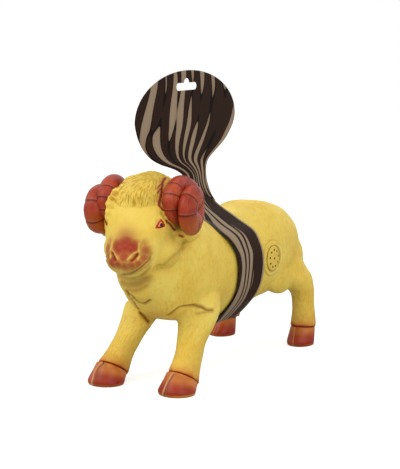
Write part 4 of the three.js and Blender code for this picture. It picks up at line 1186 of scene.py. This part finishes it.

# %% [markdown]
# A hoof is a short block swept up from its sole and leaning back to the ankle. The cleft is a narrow
# V pressed down the toe, with a raised lip beside it, and the sole has a paler rubbed edge. The cleft is
# painted darker as shade and its lip paler as a painted highlight, and the lower right side is painted darker
# as shade.

# %% Hooves
# Height, how far it has leaned back, and swell of each station, as shares.
hoof_shares = [[0, 0, 0.96], [0.22, 0, 1], [0.62, 0.5, 1], [1, 1, 1]]
coronet_gap = 0.3
hoof_paint, hoof_shader, hoof_tone, hoof_speckle = sprayed_enamel(
    "sprayed enamel on vinyl hoof", "#8E2A0A", "#A23A12", "#B44E20",
)
# The dark down the cleft and beside it, and the darker lower right side, are painted shade; the pale lip of
# the cleft is a painted highlight.
hoof_coat = lay_paints(hoof_paint, hoof_tone, [
    ("coronet_mist", "#C7782C"), ("low_spray", "#8E1C0A"), ("sole_edge", "#C07A32"),
    ("cleft_dark", "#7A140B"), ("cleft_lip", "#E2AE72"),
])
hoof_bump = add_node(
    hoof_paint, "Bump", {"Height": (hoof_speckle, "Fac"), "Strength": 0.12, "Distance": 0.0003},
)
feed(hoof_shader, {"Base Color": hoof_coat, "Normal": (hoof_bump, 0)})
cleft_seen = {
    "front_left": [(174.6, 370.5), (173.0, 374.7), (168.7, 381), (166.2, 386.5), (164.6, 391), (163.6, 396)],
    "front_right": [(106, 358.8), (103.3, 362.9), (97.6, 368), (95.0, 372.7), (93.4, 378.5), (92.6, 384)],
    "hind_left": [(295.8, 327.4), (295.3, 331), (294.7, 337), (294.2, 345)],
}
cleft_in_hoof = [(0.1, 1.04), (0, 0.75), (-0.1, 0.5), (-0.15, 0.25), (-0.2, -0.05)]


def hoof_rings(spot):
    """The hoof's rings from the middle of its sole to the middle of its top, in metres."""
    foot_x, foot_y, hoof, _ = feet[spot]
    widths = [("half_width", "top_side"), ("toe", "top_toe"), ("heel", "top_heel")]
    stations = []
    for up, back, swell in hoof_shares:
        side, fore, rear = (hoof[sole] * swell * (1 + (hoof[top] - 1) * back) for sole, top in widths)
        level = min(hoof["height"] * up, hoof["height"] - coronet_gap * math.hypot(1, hoof["tilt"]))
        middle_y = foot_y + hoof["ankle_back"] * back
        stations.append([foot_x, middle_y, level, side, fore, rear, hoof["tilt"] * up, 2])
    rings_per_span, sides = 10, 144
    spans = (len(stations) - 1) * rings_per_span
    rows = [blend_rows(stations, i / rings_per_span) for i in range(spans + 1)]
    u, v, along_up = (np.array(w, float) for w in (X, (0, -1, 0), Z))
    sole = [section(rows[0], u, v, along_up, sides, scale) for scale in (0.4, 0.8, 0.93, 0.975)]
    for ring in sole:
        ring[:, 2] = 0
    walls = [section(row, u, v, along_up, sides) for row in rows]
    walls[0][:, 2] += 0.0005
    return sole + walls + [section(rows[-1], u, v, along_up, sides, scale) for scale in (0.96, 0.8, 0.4)]


def make_hoof(spot):
    """One cloven hoof, swept from its sole, with the cleft pressed into the toe."""
    foot_x, foot_y, hoof, _ = feet[spot]
    form = loft("hoof_cloven_" + spot, hoof_rings(spot))
    here, out = places_of(form), places_of(form, "normal")
    tree = tree_of(form, "polygons")
    if spot in cleft_seen:
        hits = [tree.ray_cast(camera.location, ray_through(*at))[0] for at in cleft_seen[spot]]
        cleft = np.array([hit for hit in hits if hit is not None])
    else:
        before_toe = foot_y - hoof["toe"] - 12
        cleft = np.array([
            tree.find_nearest(Vector((foot_x + side * 10, before_toe, hoof["height"] * up)) * MM)[0]
            for side, up in cleft_in_hoof
        ])
    print(spot, "cleft through", len(cleft), "places")
    line = eased(cleft)
    gap = distance_along_skin(here, out, line, reach=6)
    beside = line[np.array([np.argmin(np.linalg.norm(line - place, axis=1)) for place in here])]
    side_of = np.sign(((here - beside) @ np.array(X)))
    height = here[:, 2] / MM
    share_up = np.clip(height / (hoof["height"] + hoof["tilt"] * (foot_y - here[:, 1] / MM)), 0, 1)
    clear = 1.0 if spot.startswith("front") else 0.4
    fade = smooth_step(height, -0.5, 1.0)
    deep = bell(gap, 0.65, power=2.2) * fade * clear
    lip = bell(gap, 0.5, 1.15) * np.where(side_of < 0, 1.0, 0.2) * fade * clear
    shift = lip * 0.25 - deep * 1.2 - bell(share_up, 0.05, 0.94) * 0.12
    set_places(form, here + out * shift[:, None] * MM)
    to_right = smooth_step((here[:, 0] / MM - foot_x) / hoof["half_width"], -0.3, 0.8)
    blotch = noise_at(here / MM, 5, 21)
    rubbed = 0.9 if spot == "front_left" else 0.35
    # The lower part is painted darker as shade, most on the right, away from the key lamp.
    low = smooth_step(share_up, 0.62, 0.12) * (0.25 + 0.65 * to_right) * (1 + 0.6 * blotch)
    # The cleft and the strip beside it on the right are painted darker as shade.
    beside_cleft = 0.35 * clear * bell(gap, 1.0, 1.4) * (side_of > 0) * fade
    set_attributes(
        form,
        cleft_dark=np.clip(0.8 * deep + beside_cleft, 0, 1),
        cleft_lip=np.clip(lip * 0.9, 0, 1),
        coronet_mist=np.clip(0.75 * smooth_step(share_up, 0.45, 0.98) * (1 + 0.5 * blotch), 0, 1),
        low_spray=np.clip(low, 0, 0.85),
        sole_edge=np.clip(rubbed * smooth_step(height, 2.6, 1.8) * (0.9 + blotch), 0, 1),
    )
    dress(form, hoof_paint)
    for polygon in form.data.polygons:
        polygon.use_smooth = len(polygon.vertices) == 4
    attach(form, "toy")
    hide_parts("hoof_" + spot)
    return form


hooves = [make_hoof(spot) for spot in feet]
print("hooves:", len(hooves), "with", len(hooves[0].data.vertices), "vertices each")

# %% [markdown]
# The eyes are small glossy domes, painted with a dark red rim, an amber iris and a black pupil. Each
# is drawn on the finished skin as the camera sees it, raised into a dome, and copied to the far side.

# %% Eyes
skin_tree = tree_of(skin)
# The outline round the middle, as seen in the frame, then the dome's rings: share of it and height in mm.
eye_outline = [
    (0.4, -5.6), (3.1, -2.4), (4.5, 1.2), (2.2, 2.7), (-1.5, 3.4), (-5.3, 3.2), (-3.6, -0.4), (-1.3, -3.9),
]
eye_seen, pupil_seen = (160.6, 224.8), (161.0, 225.2)
eye_dome = [
    (1.06, -1.0), (1.05, -0.1), (0.97, 0.22), (0.86, 0.42), (0.70, 0.62), (0.52, 0.78), (0.34, 0.88),
    (0.17, 0.93), (0.05, 0.94),
]
pupil_lift = 0.9
closed = [*eye_outline[-1:], *eye_outline, *eye_outline[:2]]
outline = [blend_rows(closed, 1 + i / 5) for i in range(len(eye_outline) * 5)]


def seen_on_skin(across, down, far):
    """The place on the finished skin that the camera sees there, or the same on the far side."""
    place = np.array([skin_tree.ray_cast(camera.location, ray_through(across, down))[0]])
    return other_side(place)[0] if far else place[0]


def make_eye(name, far):
    """One domed eye, with the share of its outline and the distance from its pupil as attributes."""
    under = skin_tree.find_nearest(Vector(seen_on_skin(*eye_seen, far)))
    middle, face_out = np.array(under[0]), np.array(under[1])
    rings = []
    for share, lift in eye_dome:
        ring = np.array([
            seen_on_skin(eye_seen[0] + dx * share, eye_seen[1] + dy * share, far) for dx, dy in outline
        ])
        ring = ring - np.outer((ring - middle) @ face_out, face_out) * (0.35 if share < 0.9 else 0)
        rings.append(ring + face_out * lift * MM)
    eye = loft(name, rings)
    pupil = seen_on_skin(*pupil_seen, far) + face_out * pupil_lift * MM
    order = ring_places(eye, rings) // len(outline)
    outline_shares = np.array([share for share, _ in eye_dome])
    set_attributes(eye, eye_share=outline_shares[order], pupil_gap=gap_to(places_of(eye), pupil))
    return eye


eye_paint, eye_shader = new_material("gloss enamel eye")
share_in, pupil_in = (
    add_node(eye_paint, "Attribute", attribute_name=name) for name in ("eye_share", "pupil_gap")
)
iris = add_node(
    eye_paint, "ValToRGB", {"Fac": (share_in, "Fac")},
    [(0.0, "#EDB23C"), (0.44, "#E59A2C"), (0.56, "#C42A14"), (0.66, "#B00A08")],
)
gap_share = add_node(eye_paint, "Math", {0: (pupil_in, "Fac"), 1: 0.25}, operation="MULTIPLY")
pupil_on = add_node(
    eye_paint, "ValToRGB", {"Fac": (gap_share, 0)}, [(0.0, "#FFFFFF"), (0.33, "#FFFFFF"), (0.39, "#000000")],
)
eye_colour = add_node(
    eye_paint, "Mix", {0: (pupil_on, "Color"), 6: (iris, "Color"), 7: "#0A0605"}, data_type="RGBA",
)
feed(eye_shader, {
    "Base Color": (eye_colour, 2), "Roughness": 0.15, "Specular IOR Level": 0.25,
    "Coat Weight": 0.25, "Coat Roughness": 0.05,
})
eyes = [make_eye("eye_left", False), make_eye("eye_right", True)]
for eye in eyes:
    dress(eye, eye_paint)
    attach(eye, "toy")
print("eyes:", [len(e.data.vertices) for e in eyes], "vertices")

# %% [markdown]
# The card is one die-cut sheet, half a millimetre thick. It runs under the belly, up both flanks, and
# its two ends close into the neck, which carries the oval header. The sheet's section is lofted along
# that path, so its print can run along it as it does on the flat sheet.

# %% Card sheet
card_thick, band_middle, band_half, sheet_gap = 0.5, 16.5, 21.5, 0.9


def trunk_at(y):
    """The trunk's row (centre, half width, rise, drop, fullness) at a place along it."""
    ys = [row[0] for row in trunk_rows]
    i = next(k for k in range(len(ys) - 1) if ys[k] >= y >= ys[k + 1])
    t = i + (ys[i] - y) / (ys[i] - ys[i + 1])
    for _ in range(6):
        row = blend_rows(trunk_rows, t)
        t += (row[0] - y) / (ys[i] - ys[i + 1])
    return blend_rows(trunk_rows, t)


def flank_at(y, z):
    """The trunk's half width at a place along it and a height."""
    _, centre, side, rise, drop, full = trunk_at(y)
    share = min(1, abs(z - centre) / (rise if z > centre else drop))
    return side * (1 - share ** full) ** (1 / full)


def barrel_half(z):
    """The widest half width under the band at a height."""
    return max(flank_at(band_middle + share * band_half, z) for share in (-1, -0.5, 0, 0.5, 1))


def band_path(offset, per_span=10):
    """The band's loop from under the belly to the neck, in mm: x and z for one face of the sheet."""
    _, centre, _, rise, drop, _ = trunk_at(band_middle)
    low, reach, top = centre - drop - 3.4 - offset, sheet_gap + offset, centre + rise
    rows = [[0, low], [9.3, low + 1.2], [15.5, low + 5]]
    for share in (-0.78, -0.55, -0.3, 0, 0.25, 0.46):
        z = centre + share * (drop if share < 0 else rise)
        rows.append([barrel_half(z) + reach, z])
    shoulder = top - 12.5
    rows += [[barrel_half(shoulder) + reach + 1.1, shoulder], [19.2 + reach, top - 4.2]]
    rows += [[11.4 + reach, top + 2.6], [4.6 + reach, top + 8.2], [1.3 + offset, top + 12.6]]
    rows.append([card_thick / 2 if offset else 0.02, 141 if offset else 139.5])
    return [blend_rows(rows, i / per_span) for i in range((len(rows) - 1) * per_span + 1)]


# Height and place along the body of the sheet's edges, in mm.
header_front = [
    (138, -18.2), (145, -22), (150, -24.3), (155, -25.4), (160.6, -27), (164.5, -33.1), (167.4, -40.5),
    (169.8, -49), (172.5, -59.5), (176.4, -70.5), (180.5, -78.6), (184.9, -84.9), (189.5, -89.8),
    (196.6, -94.8), (207, -98.4),
]
header_back = [
    (138, 19.8), (145.4, 14.5), (150, 11.6), (154.3, 9.4), (161.1, 8.2), (166.9, 8.6), (170.6, 10.6),
    (173.2, 14), (177.5, 22.4), (182.7, 33.1), (188, 42), (193.8, 48.5), (200.2, 53.8), (207, 56.4),
]
band_front = [
    (30, -5), (90, -5), (99, -6), (107.5, -9.6), (117, -17), (124, -21), (131, -20.4), *header_front[:2],
]
band_rear = [
    (30, 38), (90, 38), (101, 37.2), (111, 34.8), (118, 32), (124.5, 27.8), (130.2, 23.2), (135.7, 20.4),
    *header_back[:2],
]
header_y, header_z, header_long, header_tall = -21, 207, 77.4, 38.5


def edge_at(table, z):
    """Reads a smooth curve through a table of (height, place) rows."""
    i = next(k for k in range(len(table) - 1) if z <= table[k + 1][0])
    return blend_rows(table, i + (z - table[i][0]) / (table[i + 1][0] - table[i][0]))[1]


def header_edges(z):
    """Where the neck or the header starts and ends at a height, in mm."""
    if z <= header_z:
        return edge_at(header_front, z), edge_at(header_back, z)
    reach = header_long * math.sqrt(max(0, 1 - ((z - header_z) / header_tall) ** 2))
    return header_y - reach, header_y + reach


def places_across(front, back):
    """Evenly spaced places from the sheet's front edge to its back edge."""
    return front + (back - front) * (np.linspace(-1, 1, 21) + 1) / 2


def sheet_ring(front_face, back_face):
    """A thin closed ring: the places of one face across the sheet, then the other face's back again."""
    return np.array([*front_face, *back_face[::-1]]) * MM


outer_path, inner_path = band_path(card_thick), band_path(0)
half_loop = []
for (outer_x, outer_z), (inner_x, inner_z) in zip(outer_path, inner_path):
    faces = []
    for x, z, lift in ((outer_x, outer_z, sheet_gap + card_thick), (inner_x, inner_z, sheet_gap)):
        ys = places_across(edge_at(band_front, z), edge_at(band_rear, z))
        under = [flank_at(y, z) for y in ys]
        faces.append([(max(x, wide + lift) if wide > 0 else x, y, z) for y, wide in zip(ys, under)])
    half_loop.append(faces)
rings = [sheet_ring(*faces) for faces in half_loop[::-1]]
for faces in half_loop[1:]:
    rings.append(sheet_ring(*([(-x, y, z) for x, y, z in places] for places in faces)))
band = loft("band", rings)

neck_heights = [
    139.5, 141, 142.5, 144, 146, 148, 149.5, *np.arange(150.5, 156.6, 0.75), 158, 160, 162, 164, 166, 167.5,
]
start_angle = math.asin((168.6 - header_z) / header_tall)
oval_angles = np.linspace(start_angle, math.pi / 2 - 0.012, 64)
rings = []
for z in [*neck_heights, *(header_z + header_tall * math.sin(a) for a in oval_angles)]:
    ys = places_across(*header_edges(z))
    rings.append(sheet_ring(*([(x, y, z) for y in ys] for x in (card_thick / 2, -card_thick / 2))))
header = loft("header", rings)
print("card: band", len(band.data.vertices), "and header", len(header.data.vertices), "vertices")

# %% [markdown]
# The hang slot is punched out with a Boolean: a lozenge with a round hump for a single hook.

# %% Hang slot
slot_y, slot_z, slot_half, slot_end, hump = -22.7, 232.7, 31.5 / 2, 3.0, 4.6


def slot_outline():
    """The slot's outline in mm, with its hump on top."""
    arcs = [
        (slot_half - slot_end, 0, slot_end, -math.pi / 2, math.pi, 12),
        (0, slot_end - 1, hump, 0.2, math.pi - 0.4, 16),
        (slot_end - slot_half, 0, slot_end, math.pi / 2, math.pi, 12),
    ]
    places = []
    for along_slot, rise, radius, start, swept, steps in arcs:
        for i in range(steps + 1):
            angle = start + swept * i / steps
            places.append((
                slot_y + along_slot + radius * math.cos(angle), slot_z + rise + radius * math.sin(angle),
            ))
    return places


def cut_away(piece, cutter):
    """Subtracts one closed piece from another."""
    apply_modifier(piece, "BOOLEAN", operation="DIFFERENCE", solver="EXACT", object=cutter)
    bpy.data.objects.remove(cutter)


def smooth_by_angle(piece, degrees):
    """Shades the piece smooth, apart from edges sharper than that angle."""
    work_on(piece)
    bpy.ops.object.shade_smooth_by_angle(angle=math.radians(degrees))


def edges_at(z):
    """The front and back edge of the sheet at a height, in mm, for the band as for the header."""
    if z < header_front[0][0]:
        return edge_at(band_front, z), edge_at(band_rear, z)
    return header_edges(min(z, header_z))


punch = loft("punch", [np.array([(x, y, z) for y, z in slot_outline()]) * MM for x in (-2, 2)])
cut_away(header, punch)
card = join([band, header], "printed_card")
card_places = places_of(card) / MM
edge_pairs = np.array([edges_at(z) for z in card_places[:, 2]])
half_there = (edge_pairs[:, 1] - edge_pairs[:, 0]) / 2
across_sheet = (card_places[:, 1] - edge_pairs.mean(1)) / half_there
on_band = smooth_step(card_places[:, 2], 152, 118)
set_attributes(card, print_place=np.stack([across_sheet, card_places[:, 2], on_band], 1))

# %% [markdown]
# Solid bleached board, offset printed and varnished. The print is dark brown with taupe stripes that
# have near-black edges and run along the sheet. They are a sine of the distance across it: noise bends
# the stripes, and on the header a second noise makes them swell and taper. The rear of the band stays
# plain up to its edge. A wood texture node would close the stripes into rings.

# %% Printed card finish
print_finish, print_shader = new_material("varnished printed board")
print_in = add_node(print_finish, "Attribute", attribute_name="print_place")
split = add_node(print_finish, "SeparateXYZ", {"Vector": (print_in, "Vector")})
stripe_count = 4.4
value_of = {"across": (split, "X"), "on_band": (split, "Z")}
for name, scale, seed in (("bend_noise", (0.9, 0.018, 0), 4.0), ("swell_noise", (3.6, 0.018, 0), 9.0)):
    place = add_node(
        print_finish, "Mapping",
        {"Vector": (print_in, "Vector"), "Scale": scale, "Location": (seed, 2.3 * seed, 0)},
    )
    sheet_noise = add_node(
        print_finish, "TexNoise", {"Vector": (place, 0), "Scale": 1.0, "Detail": 0.0}, noise_dimensions="2D",
    )
    value_of[name] = (sheet_noise, "Fac")
for name, from_min, from_max, to_min, to_max in (
    ("rear", 0.17, 0.21, 0.7, -4.0), ("rear_edge", 0.88, 0.90, 0.0, 6.0),
):
    step = add_node(
        print_finish, "MapRange",
        {
            "Value": value_of["across"], "From Min": from_min, "From Max": from_max,
            "To Min": to_min, "To Max": to_max,
        },
        interpolation_type="SMOOTHSTEP",
    )
    value_of[name] = (step, 0)

# The name of each result, the operation, and the names or numbers that go into it.
stripe_sums = [
    ("bend", "MULTIPLY", "bend_noise", 0.46),
    ("band_wide", "MULTIPLY_ADD", "on_band", -0.52, 1.0),
    ("flat_across", "MULTIPLY", "across", "band_wide"),
    ("bent", "ADD", "flat_across", "bend"),
    ("turns", "MULTIPLY", "bent", 2 * math.pi * stripe_count),
    ("wave", "SINE", "turns"),
    ("swell", "MULTIPLY_ADD", "swell_noise", 3.6, -1.9),
    ("calm", "MULTIPLY_ADD", "on_band", -0.85, 1.0),
    ("calm_swell", "MULTIPLY", "swell", "calm"),
    ("swelled", "ADD", "wave", "calm_swell"),
    ("band_bias", "ADD", "rear", "rear_edge"),
    ("bias", "MULTIPLY", "band_bias", "on_band"),
    ("level", "ADD", "swelled", "bias"),
    ("tone", "MULTIPLY_ADD", "level", 0.2, 0.5),
]
for name, operation, *values in stripe_sums:
    inputs = {i: value_of.get(value, value) for i, value in enumerate(values)}
    value_of[name] = (add_node(print_finish, "Math", inputs, operation=operation), 0)
print_tone = add_node(
    print_finish, "ValToRGB", {"Fac": value_of["tone"]},
    [
        (0.0, "#2B180D"), (0.455, "#2B180D"), (0.465, "#080403"), (0.535, "#080403"), (0.548, "#836C54"),
        (0.60, "#968069"), (1.0, "#9C8A74"),
    ],
)
feed(print_shader, {"Base Color": (print_tone, 0), "Roughness": 0.4, "Specular IOR Level": 0.04})
dress(card, print_finish)
smooth_by_angle(card, 40)
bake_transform(card)
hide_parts("card_band", "card_header")
print("card finished with", len(card.data.polygons), "faces")

# %% [markdown]
# The grille cap is a small moulded lid with a low dome. It is lofted along the unit's axis, and its
# nine holes and the middle one are cut with a Boolean.

# %% Grille cap
def axis_ring(x, radius, sides=96, axis_y=unit_y, axis_z=unit_z):
    """A ring round the sound unit's axis, in metres."""
    angle = angles_round(sides)
    ys, zs = axis_y + radius * np.cos(angle), axis_z + radius * np.sin(angle)
    return np.stack([np.full(sides, x), ys, zs], 1) * MM


def dome_drop(radius):
    """How far the grille's dome has fallen at that radius."""
    return 0.75 * (radius / 9.4) ** 2


cap_low, cap_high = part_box("grille_cap")
cap_back, cap_front = cap_low[0] / MM, cap_high[0] / MM
cap_radius = (cap_high[1] - cap_low[1]) / MM / 2
print("grille cap from X", round(cap_back, 2), "to", round(cap_front, 2), "radius", round(cap_radius, 2))
lid_profile = [
    (cap_back, cap_radius - 0.15), (cap_back + 0.15, cap_radius), (cap_front - 1.5, cap_radius),
    (cap_front - 1.2, cap_radius - 0.12), (cap_front - 0.95, cap_radius - 0.5),
    (cap_front - 0.8, cap_radius - 1.1),
    *((cap_front - dome_drop(r), r) for r in (9.4, 8.4, 7.3, 6.2, 5.1, 4, 3, 2, 1, 0.4)),
]
wall_inside = cap_radius - 1.2
hollow_profile = [(cap_back - 1, wall_inside), (cap_front - 1.75, wall_inside), (cap_front - 1.65, 0.4)]
lid = loft("grille_lid", [axis_ring(x, r) for x, r in lid_profile])
cut_away(lid, loft("hollow", [axis_ring(x, r) for x, r in hollow_profile]))
hole_count, hole_circle, hole_radius = 9, 7.3, 0.95
hole_angles = [2 * math.pi * i / hole_count for i in range(hole_count)]
hole_spots = [(0, 0)] + [(hole_circle * math.sin(a), hole_circle * math.cos(a)) for a in hole_angles]
drill_ends = (cap_front - 4, cap_front + 1)
drills = [
    loft("drill", [axis_ring(x, hole_radius, 28, unit_y + y, unit_z + z) for x in drill_ends])
    for y, z in hole_spots
]
cut_away(lid, join(drills, "drills"))

# %% Plastics, metals and board
def plain_finish(name, low_tone, high_tone, roughness, metallic=0.0, scale=300.0, bump=0.05):
    """A finish with a slight mottle between two tones and a fine grain."""
    finish, shader = new_material(name)
    place_in = add_node(finish, "TexCoord")
    mottle = add_node(finish, "TexNoise", {"Vector": (place_in, "Object"), "Scale": scale, "Detail": 3.0})
    tone = add_node(finish, "ValToRGB", {"Fac": (mottle, "Fac")}, [(0.3, low_tone), (0.7, high_tone)])
    fine = add_node(finish, "Bump", {"Height": (mottle, "Fac"), "Strength": bump, "Distance": 0.0002})
    feed(shader, {
        "Base Color": (tone, 0), "Normal": (fine, 0), "Roughness": roughness, "Metallic": metallic,
        "Specular IOR Level": 0.5 if metallic else 0.3,
    })
    return finish


finishes = {
    "housing": plain_finish("yellow ABS, moulded", "#DDB842", "#E5C452", 0.45),
    "inner_case": plain_finish("black ABS, moulded", "#1B1B1C", "#262628", 0.45),
    "steel": plain_finish("nickel-plated steel", "#B9B6AE", "#CFCCC4", 0.26, 1.0, 500),
    "ferrite": plain_finish("ferrite magnet, sintered", "#2B2A2C", "#3A393B", 0.6),
    "paper_cone": plain_finish("pressed paper cone", "#2A241E", "#3A332B", 0.9, scale=900, bump=0.4),
    "board": plain_finish("glass-epoxy board", "#1E5C33", "#257040", 0.35),
    "epoxy": plain_finish("black epoxy drop", "#0D0D0E", "#151517", 0.15),
    "brass": plain_finish("brass contact", "#B38F45", "#CBA75A", 0.3, 1.0, 500),
    "red_button": plain_finish("red ABS button", "#B3261E", "#C23129", 0.4),
    "wire_cover": plain_finish("PVC wire cover", "#A3201A", "#B82A22", 0.45),
}
dress(lid, finishes["housing"], finishes["inner_case"])
smooth_by_angle(lid, 32)
# The lid's underside and the walls of its holes take the black finish as painted shade; the moulding itself
# is yellow.
for polygon in lid.data.polygons:
    from_middle = from_unit(polygon.center)
    below_dome = cap_front - dome_drop(from_middle) - 0.12
    if from_middle < cap_radius - 1.1 and polygon.center.x / MM < below_dome:
        polygon.material_index = 1
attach(lid, "sound_unit")
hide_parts("grille_cap")

# %% [markdown]
# The squeeze button's spring is a helix of wire, which shortens as the button is pressed.

# %% Button spring
spring_low, spring_high = (np.array(corner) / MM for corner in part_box("button_spring"))
spring_wire, spring_turns, button_travel = 0.35, 3, 1.2
spring_middle = (spring_low + spring_high) / 2
spring_radius = (spring_high[1] - spring_low[1] - spring_wire) / 2
wire_start, wire_end = spring_low[0] + spring_wire / 2, spring_high[0] - spring_wire / 2
around = angles_round(10)
rings = []
for share in np.linspace(0, 1, 97):
    angle = 2 * math.pi * spring_turns * share
    outward = np.array([0, math.cos(angle), math.sin(angle)])
    on_axis = np.array([wire_start + (wire_end - wire_start) * share, *spring_middle[1:]])
    round_wire = np.outer(np.cos(around), outward) + np.outer(np.sin(around), X)
    rings.append((on_axis + outward * spring_radius + spring_wire / 2 * round_wire) * MM)
spring = loft("press_spring", rings)
dress(spring, finishes["steel"])
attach(spring, "sound_unit")
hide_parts("button_spring")
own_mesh(spring)

# %% Finishes for the CAD's own nodes
refinished = 0
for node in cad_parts.values():
    old = node.data.materials[0].name if node.data.materials else ""
    if old in finishes:
        node.data.materials[0] = finishes[old]
        refinished += 1
print(refinished, "nodes of the CAD have their finish")
